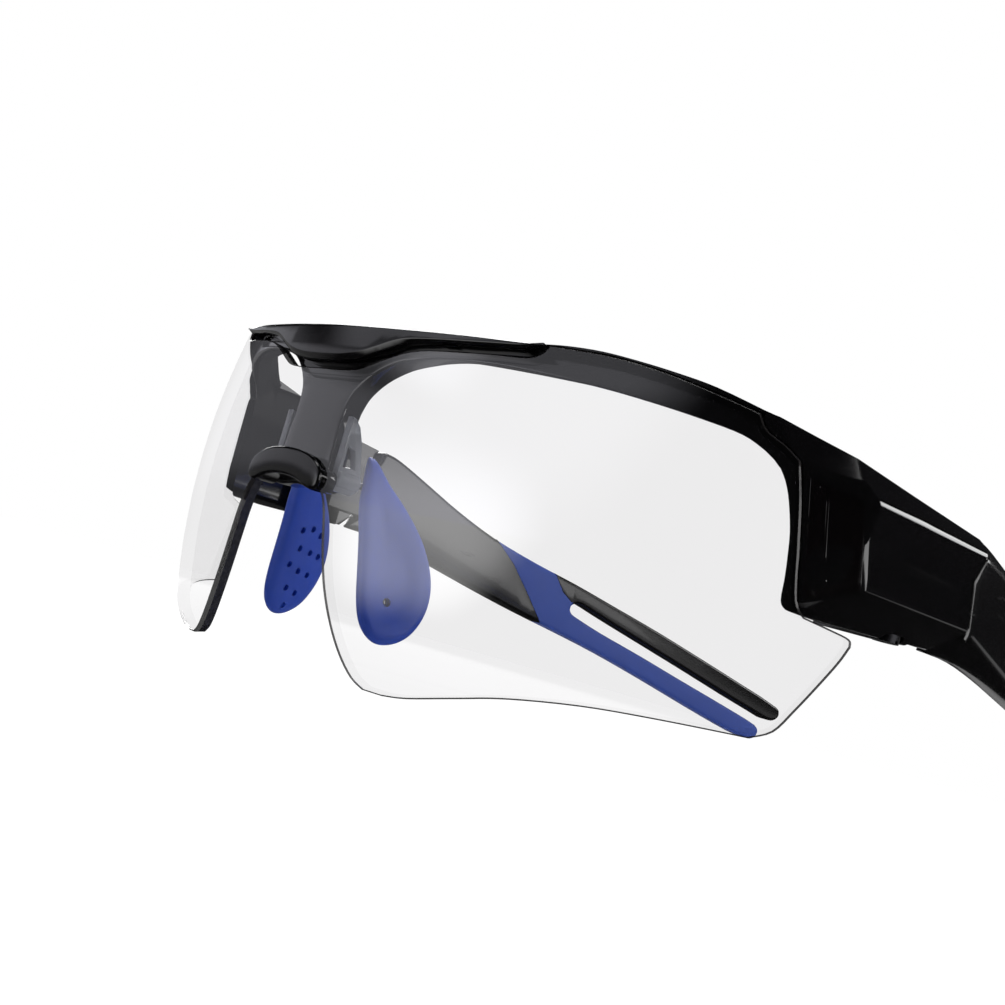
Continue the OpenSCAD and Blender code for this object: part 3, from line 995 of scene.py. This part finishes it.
@dataclass
class LensHook:
    """The glossy hook that holds the lens at the nose, with its turned ends."""

    top: Outline = drawn(
        (0, 0), (3, -0.2), (5.8, -0.8), (7.8, -1.9), (8.6, -3.3), (8.3, -4.7), (7.2, -5.2)
    )
    bottom: Outline = drawn((7.2, -5.2), (5.8, -4.9), (4.2, -4.3), (2, -3.9), (0, -3.8))
    root_top: Outline = drawn((0, -2.8), (4, -3.25), (6.9, -4.4), (7, -5.2))
    end: Outline = drawn((7.5, -1.9), (8.3, -2.4), (8.6, -3.3), (8.3, -4.7), (7.6, -5.1), (7.1, -4.6))
    # Where each part begins and ends behind the front of the lens
    lip_depth: Point = (-0.93, -0.06)
    root_depth: Point = (-0.4, 2.4)
    end_depth: Point = (-0.6, 2.6)
    half_width: float = 8.6

    def build(self, finishes: Finishes) -> None:
        """Builds and dresses the hook."""
        low = smooth(self.bottom)
        lip = Bench.slab("lens_hook_lip", both_sides(joined(smooth(self.top), low)), *self.lip_depth)
        Bench.round_edges(lip, 0.42, 4, 50, clamp=False)
        root = Bench.slab("hook_root", both_sides(joined(self.root_top, low)), *self.root_depth)
        ends = []
        for sign in (-1, 1):
            end = Bench.slab("hook_end", [(sign * x, z) for x, z in self.end], *self.end_depth)
            Bench.round_edges(end, 0.3, 3, 40)
            ends.append(end)
        hook = Bench.join(lip, root, *ends)
        Bench.cut_rows(hook, 0, steps_between(-self.half_width, self.half_width, 1))
        dressed(hook, finishes.gloss, 40, SURFACE.seat)
        placed(hook, "nose_hook", "front", "black_plastic", "lens_hook")


@dataclass
class NoseBracket:
    """The smoke-grey bracket behind the bridge, with a window and a socket for each pad's wire."""

    plate: Outline = drawn(
        (2.8, 5.9), (3.3, 5.7), (4.3, 4.8), (5.2, 3), (5.6, 1.8), (6.6, -1.5), (6.8, -2.8), (6.5, -3.8),
        (5.7, -4.4), (2.8, -4.4)
    )
    window: Outline = drawn((3.3, 1.9), (4.6, 1.6), (5.5, -0.9), (3.3, -1))
    # Sides of a plate and of the room for its window, from the middle plane
    plate_sides: Point = (6.75, 8.05)
    window_sides: Point = (6.3, 8.5)
    socket: Point = (7.4, -2.6)
    socket_depths: list[float] = drawn(2.9, 4, 5.4, 6.7)
    socket_radius: float = 1.25
    bar: Outline = drawn((-6.7, -0.6), (6.7, -0.6), (6.7, -3.9), (-6.7, -3.9))
    bar_depth: Point = (5.5, 6.6)

    def build(self, finishes: Finishes) -> None:
        """Builds and dresses the bracket."""
        parts = []
        for sign in (-1, 1):
            sides = [sign * x for x in self.plate_sides]
            plate = Bench.slab("bracket_plate", self.plate, *sides, axis=0)
            sides = [sign * x for x in self.window_sides]
            Bench.carve(plate, Bench.slab("bracket_window", self.window, *sides, axis=0))
            Bench.round_edges(plate, 0.16, 2, 40)
            x, z = self.socket
            path = [Vector((sign * x, y, z)) for y in self.socket_depths]
            socket = Bench.tube("wire_socket", path, self.socket_radius, 24)
            Bench.round_edges(socket, 0.3, 3, 40)
            parts += [plate, socket]
        bar = Bench.slab("bracket_bar", self.bar, *self.bar_depth)
        Bench.round_edges(bar, 0.25, 2, 40)
        bracket = Bench.join(bar, *parts)
        dressed(bracket, finishes.smoke, 35)
        placed(bracket, "smoke_bracket", "front", "smoke_plastic", "nose_bracket")


@dataclass
class HingeBlock:
    """The faceted block between the brow and the temple, with its cheek panel."""

    hinge: Point = (64.9, 50.0)
    screw: float = 1.0
    screw_recess: float = 2.35
    slot: Outline = drawn((40, 47.2), (67.8, 47.2), (67.8, 70), (40, 70))
    ear: Outline = drawn((40, 53.4), (66.1, 53.4), (66.1, 70), (40, 70))
    # Where each cut at the hinge begins and ends in height
    slot_height: Point = (-1.15, 8.25)
    ear_height: Point = (-9, 20)
    screw_height: Point = (-4.6, 11)
    recess_height: Point = (-9, -3.4)
    edge_round: float = 0.5
    # Room in front of the lens and round it, and the mouth behind it
    front: Outline = drawn((48, -12), (80, -12), (80, 24), (48, 24))
    front_start: float = -30
    lens_gap: float = 0.12
    pocket_depth: Point = (-1, 2.1)
    mouth_depth: Point = (15, 43)
    seam_start: float = 56.0
    cheek_way: Triple = (0.81, -0.58, 0.02)
    # The panel on the cheek, its rib and its mark, as shares across and down the cheek
    panel: Outline = drawn(
        (0.12, 0.07), (0.9, 0.07), (0.95, 0.12), (0.95, 0.93), (0.9, 0.97), (0.2, 0.98), (0.12, 0.93)
    )
    rib: Outline = drawn((0.37, 0.2), (0.41, 0.2), (0.41, 0.8), (0.44, 0.85), (0.42, 0.87), (0.37, 0.82))
    mark: Outline = drawn((0.26, 0.1), (0.46, 0.12), (0.46, 0.14), (0.26, 0.12))
    panel_lift: float = 0.12
    line_lift: float = 0.24
    patch_depth: float = 0.35
    # Each ring runs from inner low over lower ridge, outer low, outer middle, outer high and upper
    # ridge to inner high
    rings: list[list[Triple]] = drawn(
        [(58.4, 24, -5.1), (61.2, 25, -5.3), (63.6, 26.6, -4.6), (61.9, 26.6, 6.5), (60.3, 26.5, 12.9),
         (59.2, 25.4, 17.2), (58.4, 24.6, 17.4)],
        [(56.6, 31, -5), (63.4, 31, -5.1), (65.4, 30.4, -4), (64.1, 29.5, 5), (62.8, 28.6, 12.1),
         (61.6, 31.2, 16.3), (56.6, 29.6, 16.6)],
        [(56.6, 38, -4.9), (65.6, 38.6, -4.9), (69.3, 37.6, -0.6), (69.3, 35.6, 5.6), (69.3, 33.7, 10.3),
         (65.4, 35.6, 15.1), (56.6, 36, 15.1)],
        [(60.4, 46, -4.6), (65.8, 46, -4.5), (69.3, 46, -0.5), (69.3, 46, 6), (69.3, 46, 10.3),
         (66.8, 46, 13.7), (60.4, 46, 13.8)],
        [(62.1, 57.4, -4), (66, 57.3, -3.95), (69.3, 61, -0.3), (69.3, 59, 6.2), (69.3, 61.3, 10.2),
         (67.2, 61.6, 12.3), (62.73, 61.6, 12.4)]
    )
    mouth: Outline = drawn(
        (48, 17), (56, 15.6), (57.3, 14.3), (58.5, 13), (59.6, 11.65), (60.6, 9.9), (61.4, 7.6),
        (62.2, 4.2), (62.6, 1), (62.8, -1.5), (62.9, -4), (63.4, -4.9), (64.4, -5.4), (64.4, -9),
        (48, -9)
    )

    @staticmethod
    def edge_share(first: Vector, second: Vector) -> float:
        """How much an edge is rounded: not at all inside, and little at the seam."""
        if min(first.x, second.x) < 62.15 or max(first.y, second.y) < 26.8:
            return 0.0
        return 0.3 if min(first.y, second.y) > 57 else 1.0

    def body(self, lens_outline: Outline) -> Thing:
        """The bare block on the left."""
        loops = [[Vector(p) for p in loop] for loop in self.rings]
        block = Bench.loft("faceted_block", loops)
        Bench.round_by_share(block, self.edge_round, self.edge_share, angle=14)
        Bench.split_faces(block, self.seam_start)
        front = Bench.slab("lens_front_cutter", self.front, self.front_start, self.lens_gap)
        Bench.grid(front, (48, 80), (-12, 24), 1.5)
        Bench.bend(front, SURFACE.place)
        Bench.carve(block, front)
        pocket = Bench.slab("lens_pocket_cutter", grown(lens_outline, self.lens_gap), *self.pocket_depth)
        Bench.grid(pocket, (-70, 70), (-28, 19), 2)
        Bench.bend(pocket, SURFACE.place)
        Bench.carve(block, pocket)
        Bench.carve(block, Bench.slab("mouth_cutter", smooth(self.mouth, 3), *self.mouth_depth))
        return block

    def hinge_room(self, block: Thing) -> None:
        """Cuts the slot for the knuckle, the ear's inner wall and the screw's hole and recess."""
        for name, outline, height in (
            ("slot", self.slot, self.slot_height),
            ("ear", self.ear, self.ear_height),
            ("screw", ring(self.hinge, self.screw, 40), self.screw_height),
            ("recess", ring(self.hinge, self.screw_recess, 40), self.recess_height)
        ):
            Bench.carve(block, Bench.slab(f"{name}_cutter", outline, *height, axis=2))

    def cheek_point(self, across: float, down: float, lift: float) -> Vector:
        """A point of the cheek, from its front edge to its rear one and from top to bottom."""
        front, rear = self.rings[1], self.rings[2]
        top = Vector(front[4]).lerp(Vector(rear[4]), across)
        low = Vector(front[2]).lerp(Vector(rear[2]), across)
        return top.lerp(low, down) + Vector(self.cheek_way) * lift

    def patch(self, name: str, outline: Sequence[Point], lift: float) -> Thing:
        """A thin plate on the cheek, with its outline as shares [across, down] of the cheek."""
        plate = Bench.slab(name, outline, 0, 1)
        Bench.grid(plate, (0, 1), (0, 1), 0.12)
        Bench.bend(plate, lambda p: self.cheek_point(p.x, p.z, lift - self.patch_depth * p.y))
        return plate

    def build(self, finishes: Finishes, lens_outline: Outline) -> None:
        """Builds and dresses both blocks and their panels."""
        block = self.body(lens_outline)
        self.hinge_room(block)
        dressed(block, finishes.gloss, 24)
        panel = self.patch("cheek_panel", self.panel, self.panel_lift)
        Bench.round_edges(panel, 0.1, 2, 50)
        lines = [
            self.patch("cheek_rib", self.rib, self.line_lift),
            self.patch("cheek_mark", self.mark, self.line_lift)
        ]
        for line in lines:
            Bench.round_edges(line, 0.09, 2, 50)
        panel = Bench.join(panel, *lines)
        dressed(panel, finishes.panel, 40)
        placed_pair(block, "faceted_block", ("front", "front"), "black_plastic", "hinge_block")
        placed_pair(panel, "cheek_panel", ("front", "front"), "black_plastic", "cheek_insert")


@dataclass
class Temple:
    """A forked temple: a black arm with the upper tine, and the blue grip round the lower one."""

    # Stations as [y, inner face x, thickness]
    stations: list[Triple] = drawn(
        (57, 64.5, 4.8), (60.15, 64.3, 5), (66, 63.7, 4.85), (74, 62.8, 4.6), (82, 61.9, 4.4),
        (92, 60.8, 4.2), (104, 59.4, 3.9), (115, 58.2, 3.7), (127, 56.9, 3.5), (141, 55.3, 3.3),
        (157, 53.5, 3.2), (170, 52.1, 3.1), (183, 50.7, 3)
    )
    flat_thickness: float = 5.0
    seam: Outline = drawn((61.75, 12.3), (61.5, 10.2), (59.2, 6.2), (61.2, -0.3), (57.5, -3.95))
    under: Outline = drawn(
        (57.5, -3.95), (66, -4.1), (74, -5), (82, -6.3), (92, -8), (104, -9.9), (115, -11.4),
        (127, -13.2), (141, -15.8), (157, -19), (170, -21.4), (175.4, -21.9)
    )
    low_tip: Outline = drawn(
        (175.4, -21.9), (176.9, -21.3), (177.6, -20.1), (177.3, -19.1), (176.2, -18.4)
    )
    slot_low: Outline = drawn(
        (176.2, -18.4), (172.8, -17.6), (163.9, -15.9), (150.4, -13.4), (137.3, -10.9), (124.9, -8.7),
        (118, -7.2)
    )
    slot_nose: Outline = drawn((118, -7.2), (116, -6.6), (115.2, -5.5), (115.9, -4.5), (117.4, -4.2))
    slot_high: Outline = drawn(
        (117.4, -4.2), (119.4, -4.5), (126.4, -6), (138.9, -8.5), (152, -11.1), (165.7, -13.9),
        (174.6, -15.6), (178.6, -16.4)
    )
    high_tip: Outline = drawn(
        (178.6, -16.4), (181, -16.4), (182.6, -15.5), (182.95, -14.3), (182.2, -13.2)
    )
    upper: Outline = drawn(
        (182.2, -13.2), (176, -11.7), (170, -10.5), (157, -7.9), (141, -4.8), (127, -2.4), (115, -0.4),
        (104, 1.1), (92, 3.3), (82, 6.1), (74, 8.9), (68, 11), (64.5, 12), (61.75, 12.3)
    )
    grip_zone: Outline = drawn(
        (90.5, 8), (106, 8), (106.5, 3), (112, -2.8), (117, -5.4), (126, -7.4), (150, -12.3),
        (170, -16.4), (178, -17.6), (200, -18), (200, -40), (110, -40), (110, -12), (104, -6),
        (98, -0.5), (91.2, 4)
    )
    zone_sides: Point = (-5, 10)
    # Planes that cut the outer edges, as a point and the way out
    bevels: list[tuple[Triple, Triple]] = drawn(
        ((5, 61, 10.1), (1, 0.15, 0.85)),
        ((5, 61, -0.3), (1, -0.2333, -1))
    )
    edge_round: float = 0.75
    joint_share: float = 0.14
    grid: float = 3.0
    tongue: Outline = drawn((63.5, 50), (66.9, 50), (66.9, 62.2), (63.5, 62.2))
    knuckle_ends: Point = (-1.0, 8.1)
    knuckle_size: float = 2.5
    bush: float = 1.6

    def outline(self) -> Outline:
        """The whole temple seen from the side, as [y, z]."""
        curves = [
            self.under, self.low_tip, self.slot_low, self.slot_nose, self.slot_high, self.high_tip,
            self.upper
        ]
        return joined(self.seam, *[smooth(run, 3) for run in curves])[:-1]

    def across(self, y: float) -> tuple[float, float]:
        """The inner face and the thickness at one place along the temple."""
        rows = self.stations
        y = min(max(y, rows[0][0]), rows[-1][0])
        a, b = next((a, b) for a, b in zip(rows, rows[1:]) if y <= b[0])
        t = (y - a[0]) / (b[0] - a[0])
        return a[1] + (b[1] - a[1]) * t, a[2] + (b[2] - a[2]) * t

    def seat(self, flat: Vector) -> Vector:
        """Takes a flat point [share of the thickness, y, z] to its place in millimetres."""
        inner, thickness = self.across(flat.y)
        return Vector((inner + thickness * flat.x / self.flat_thickness, flat.y, flat.z))

    def shell(self) -> Thing:
        """The whole temple, flat and with sharp edges."""
        temple = Bench.slab("temple", self.outline(), 0, self.flat_thickness, axis=0)
        for spot, outward in self.bevels:
            Bench.shave(temple, Vector(spot), Vector(outward))
        return temple

    def edge_share(self, first: Vector, second: Vector) -> float:
        """How much an edge is rounded: little where arm and grip meet."""
        corners = [Vector(p) for p in self.grip_zone]
        for end in (first, second):
            spot = Vector((end.y, end.z))
            gaps = []
            for a, b in zip(corners, [*corners[1:], corners[0]]):
                t = min(max((spot - a).dot(b - a) / (b - a).length_squared, 0), 1)
                gaps.append((spot - a.lerp(b, t)).length)
            if min(gaps) > 0.05:
                return 1.0
        return self.joint_share

    def finish_shape(self, piece: Thing) -> None:
        """Rounds one part of the temple and bends it to its place."""
        Bench.round_by_share(piece, self.edge_round, self.edge_share)
        Bench.cut_rows(piece, 1, steps_between(self.stations[0][0], self.stations[-1][0], self.grid))
        Bench.bend(piece, self.seat)

    def zone(self) -> Thing:
        """The space of the grip as a prism across the flat temple."""
        return Bench.slab("grip_zone", self.grip_zone, *self.zone_sides, axis=0)

    def knuckle(self) -> Thing:
        """The tongue and the knuckle that turn in the hinge block."""
        hinge = HingeBlock().hinge
        low, high = self.knuckle_ends
        solid = Bench.slab("hinge_tongue", self.tongue, low, high, axis=2)
        barrel = Bench.slab("knuckle_barrel", ring(hinge, self.knuckle_size, 48), low, high, axis=2)
        Bench.carve(solid, barrel, Cut.TOGETHER)
        bore = Bench.slab("bush_bore", ring(hinge, self.bush, 48), low - 1, high + 0.9, axis=2)
        Bench.carve(solid, bore)
        return solid

    def build(self, finishes: Finishes) -> None:
        """Builds and dresses both temples."""
        arm = self.shell()
        grip = Bench.copy(arm, "grip")
        Bench.carve(grip, self.zone(), Cut.WITHIN)
        Bench.carve(arm, self.zone())
        self.finish_shape(grip)
        self.finish_shape(arm)
        Bench.join(arm, self.knuckle())
        for piece, name, material, slot, node in (
            (arm, "temple_arm_plastic", finishes.arm, "black_plastic", "temple_arm"),
            (grip, "temple_grip_rubber", finishes.grip, "blue_rubber", "temple_grip")
        ):
            dressed(piece, material, 30)
            placed_pair(piece, name, ("temple_left", "temple_right"), slot, node)


@dataclass
class NosePad:
    """A soft blue pad, hollowed outside and dimpled where it lies on the nose."""

    root: Vector = field(default_factory=lambda: Vector((7.05, 5, -3)))
    normal: Vector = field(default_factory=lambda: Vector((-0.947, 0.28, -0.159)))
    outline: Outline = drawn(
        (7.5, 1.6), (8.7, 1.4), (11, -1.1), (14, -3.8), (16.8, -7), (18.6, -10.2), (19.5, -13.5),
        (19.3, -16.8), (18, -19.8), (16, -21.7), (13.6, -22.5), (11.7, -21.8), (10.3, -19.9), (9.5, -17),
        (8.9, -13), (8.3, -9), (7.5, -4.4)
    )
    centre: Point = (13.4, -13.4)
    thickness: float = 2.4
    # Rings from the hollow of the outer face to the crown of the nose face, as [height, scale]
    rings: list[Point] = drawn(
        (-0.66, 0.1), (-0.68, 0.3), (-0.74, 0.42), (-0.86, 0.54), (-0.98, 0.66), (-1.0, 0.82),
        (-0.85, 0.94), (-0.45, 0.995), (0, 1), (0.45, 0.97), (0.78, 0.88), (0.95, 0.7), (1.02, 0.45),
        (1.04, 0.15)
    )
    dimples: Outline = drawn(
        (11.2, -9.6), (13.2, -9.0), (15.2, -9.6), (12.0, -12.2), (14.4, -12.4), (16.4, -12.6),
        (11.2, -14.8), (13.4, -15.4), (15.6, -15.6), (12.4, -18.2), (14.6, -18.6), (13.4, -20.8)
    )

    # Cutters of the dimples and of the hole for the wire, which start off the pad's faces
    dimple_start: float = 1.6
    dimple_length: float = 1.3
    dimple_radius: float = 0.5
    hole: Point = (13.5, -16.8)
    hole_start: float = -1.4
    hole_length: float = 1.9
    hole_radius: float = 0.6

    def point(self, spot: Point, height: float, scale: float) -> Vector:
        """An outline point shrunk towards the middle, then lifted from the pad's plane."""
        y = self.centre[0] + scale * (spot[0] - self.centre[0])
        z = self.centre[1] + scale * (spot[1] - self.centre[1])
        n = self.normal
        x = self.root.x - (n.y * (y - self.root.y) + n.z * (z - self.root.z)) / n.x
        return Vector((x, y, z)) + n * (height * self.thickness / 2)

    def build(self, finishes: Finishes) -> None:
        """Builds and dresses both pads."""
        closed = smooth([*self.outline, self.outline[0]], 4)[:-1]
        loops = [[self.point(p, height, scale) for p in closed] for height, scale in self.rings]
        pad = Bench.loft("nose_pad_rubber", loops)
        Bench.apply(pad, "SUBSURF", levels=1, render_levels=1)
        axis = self.normal.normalized()
        for spot in self.dimples:
            top = self.point(spot, self.dimple_start, 1)
            ends = [top, top - axis * self.dimple_length]
            Bench.carve(pad, Bench.tube("dimple_cutter", ends, self.dimple_radius, 16))
        hole = self.point(self.hole, self.hole_start, 1)
        ends = [hole, hole + axis * self.hole_length]
        Bench.carve(pad, Bench.tube("wire_hole_cutter", ends, self.hole_radius, 20))
        dressed(pad, finishes.pad, 45)
        placed_pair(pad, "nose_pad_rubber", ("pad_left", "pad_right"), "blue_rubber", "nose_pad")


@dataclass(frozen=True)
class Glow:
    """A soft patch of light in one direction, full and gone at two cosines from its middle."""

    strength: float
    middle: Triple
    full: float
    gone: float

    def light(self, paint: Paint, way: Link) -> Link:
        """The strength of the patch in the direction of each ray."""
        aim = tuple(Vector(self.middle).normalized())
        near = paint.vector("DOT_PRODUCT", way, aim)["Value"]
        return self.strength * paint.fade(near, self.gone, self.full)


@dataclass
class Studio:
    """The pale floor, the soft light and the camera."""

    lens: float = 56.21
    spot: Triple = (0.180780, -0.206856, 0.008927)
    right: Triple = (0.64491, 0.71325, 0.27453)
    up: Triple = (-0.11032, -0.26856, 0.95692)
    back: Triple = (0.75625, -0.64742, -0.09451)
    lens_middle: Triple = (0.025, -0.085, 0.013)
    dark: float = 0.015
    cool_tint: Colour = (0.92, 0.92, 1.0)
    haze: Glow = Glow(1.6, (-0.27, -0.96, -0.06), 0.99, 0.875)
    floor_rear: Glow = Glow(0.5, (0.5, 0.866, 0), 0.98, 0.9)
    floor_far: Glow = Glow(0.15, (-0.93, -0.36, 0), 0.9, 0.7)
    wall_far: Glow = Glow(0.5, (-0.93, -0.36, 0.1), 0.9, 0.7)
    wall_front: Glow = Glow(0.42, (-0.06, -0.88, 0.47), 0.96, 0.82)
    wall_high: Glow = Glow(0.62, (-0.57, -0.72, 0.4), 0.985, 0.91)
    # Square lamps as name, place, side and power
    lamps: list[tuple[str, Triple, float, float]] = drawn(
        ("overhead_softbox", (-0.1, 0.1, 0.9), 0.5, 6),
        ("rear_softbox", (0.36, 0.76, 0.47), 0.3, 1.3),
        ("side_softbox", (0.94, 0.29, 0.23), 0.75, 5.5),
        ("far_softbox", (-0.8, 0.35, 0.5), 0.5, 5)
    )
    lamp_aim: Triple = (0, 0, 0.03)

    def camera(self) -> None:
        """Stands the camera at the photograph's viewing angle."""
        data = bpy.data.cameras.new("photo_camera")
        data.lens = self.lens
        data.sensor_width = 36.0
        data.clip_start = 0.01
        eye = bpy.data.objects.new("photo_camera", data)
        turn = Matrix((self.right, self.up, self.back)).transposed().to_4x4()
        eye.matrix_world = Matrix.Translation(self.spot) @ turn
        bpy.context.scene.collection.objects.link(eye)
        bpy.context.scene.camera = eye

    def floor(self) -> None:
        """Lays a plain white floor that keeps a faint shadow; in glossy reflections it shows painted
        light instead of the lit paper.
        """
        bpy.ops.object.select_all(action="DESELECT")
        bpy.ops.mesh.primitive_plane_add(size=8, location=(0, 0, 0))
        floor = bpy.context.object
        floor.name = "studio_floor"
        made, paint = Paint.material("floor_paper")
        paper = paint.body({
            "Base Color": paint.blend(paint.noise(90), (0.86, 0.86, 0.86), (0.9, 0.9, 0.9)),
            "Roughness": 0.9,
        })
        spot = paint.place()
        from_lens = paint.vector("SUBTRACT", spot, self.lens_middle)["Vector"]
        from_lens = paint.vector("NORMALIZE", from_lens)["Vector"]
        round_middle = paint.vector("NORMALIZE", spot)["Vector"]
        light = self.dark + self.haze_light(paint, from_lens)
        for glow in (self.floor_rear, self.floor_far):
            light = light + glow.light(paint, round_middle)
        rays = paint.node("ShaderNodeLightPath")
        seen = paint.mix(0.9 * rays["Is Camera Ray"], paper, paint.lit((1, 1, 1, 1), 1.12))
        # Glossy rays see painted light here: a dim glow with the haze and two soft patches
        paint.finish(paint.mix(rays["Is Glossy Ray"], seen, paint.lit(light)))
        painted(floor, made)

    def haze_light(self, paint: Paint, way: Link) -> Link:
        """The broad soft light that lies as a haze over the nose side of the lens.

        Args:
            paint: The paint that the light belongs to.
            way: The direction of each ray, from the lens.

        Returns:
            The strength of the light.
        """
        band = paint.fade((paint.part(way, "Z") + 0.06).size(), 0.32, 0.05)
        return band * self.haze.light(paint, way)

    def world(self) -> None:
        """Surrounds the glasses with dim grey, brighter to the front, on one side and overhead."""
        sky = bpy.data.worlds.new("soft_surroundings")
        sky.use_nodes = True
        bpy.context.scene.world = sky
        paint = Paint(sky.node_tree)
        way = paint.node("ShaderNodeTexCoord")["Generated"]
        height = paint.part(way, "Z")
        low = paint.fade(height, 0.31, 0.22) * (0.3 + 0.7 * paint.fade(height, 0.0, 0.08))
        high = paint.fade(height, 0.26, 0.34)
        light = self.dark + low * self.wall_far.light(paint, way) + self.haze_light(paint, way)
        light = light + self.wall_front.light(paint, way) + high * self.wall_high.light(paint, way)
        tint = {0: self.cool_tint, "Scale": light}
        cool = paint.node("ShaderNodeVectorMath", {"operation": "SCALE"}, tint)["Vector"]
        shades = [
            paint.node("ShaderNodeBackground", None, {"Color": colour, "Strength": 1.0})["Background"]
            for colour in (cool, (1, 1, 1, 1))
        ]
        paint.finish(paint.mix(paint.node("ShaderNodeLightPath")["Is Camera Ray"], *shades))

    def lamp(self, name: str, spot: Triple, side: float, power: float) -> None:
        """Hangs a soft square lamp that faces the glasses."""
        data = bpy.data.lights.new(name, "AREA")
        data.shape = "SQUARE"
        data.size = side
        data.energy = power
        lamp = bpy.data.objects.new(name, data)
        turn = (Vector(self.lamp_aim) - Vector(spot)).to_track_quat("-Z", "Y").to_matrix().to_4x4()
        lamp.matrix_world = Matrix.Translation(spot) @ turn
        bpy.context.scene.collection.objects.link(lamp)

    def build(self) -> None:
        """Builds the whole studio."""
        bpy.context.scene.view_settings.view_transform = "Standard"
        self.camera()
        self.floor()
        self.world()
        for lamp in self.lamps:
            self.lamp(*lamp)


def dress_steel(finishes: Finishes) -> None:
    """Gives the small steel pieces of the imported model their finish."""
    for name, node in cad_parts.items():
        if name.startswith(("hinge_screw", "hinge_bush", "pad_wire")):
            painted(node, finishes.steel if name.startswith("pad_wire") else finishes.dark_steel)
            LOG.info("%s: steel", name)


def main() -> None:
    """Builds every piece in order."""
    logging.basicConfig(level=logging.INFO, format="%(message)s")
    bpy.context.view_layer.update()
    finishes = Finishes()
    lens = ShieldLens()
    lens.build(finishes)
    BrowFrame().build(finishes)
    LensHook().build(finishes)
    NoseBracket().build(finishes)
    HingeBlock().build(finishes, lens.outline())
    Temple().build(finishes)
    NosePad().build(finishes)
    dress_steel(finishes)
    Studio().build()
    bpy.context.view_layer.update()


if __name__ == "__main__":
    main()
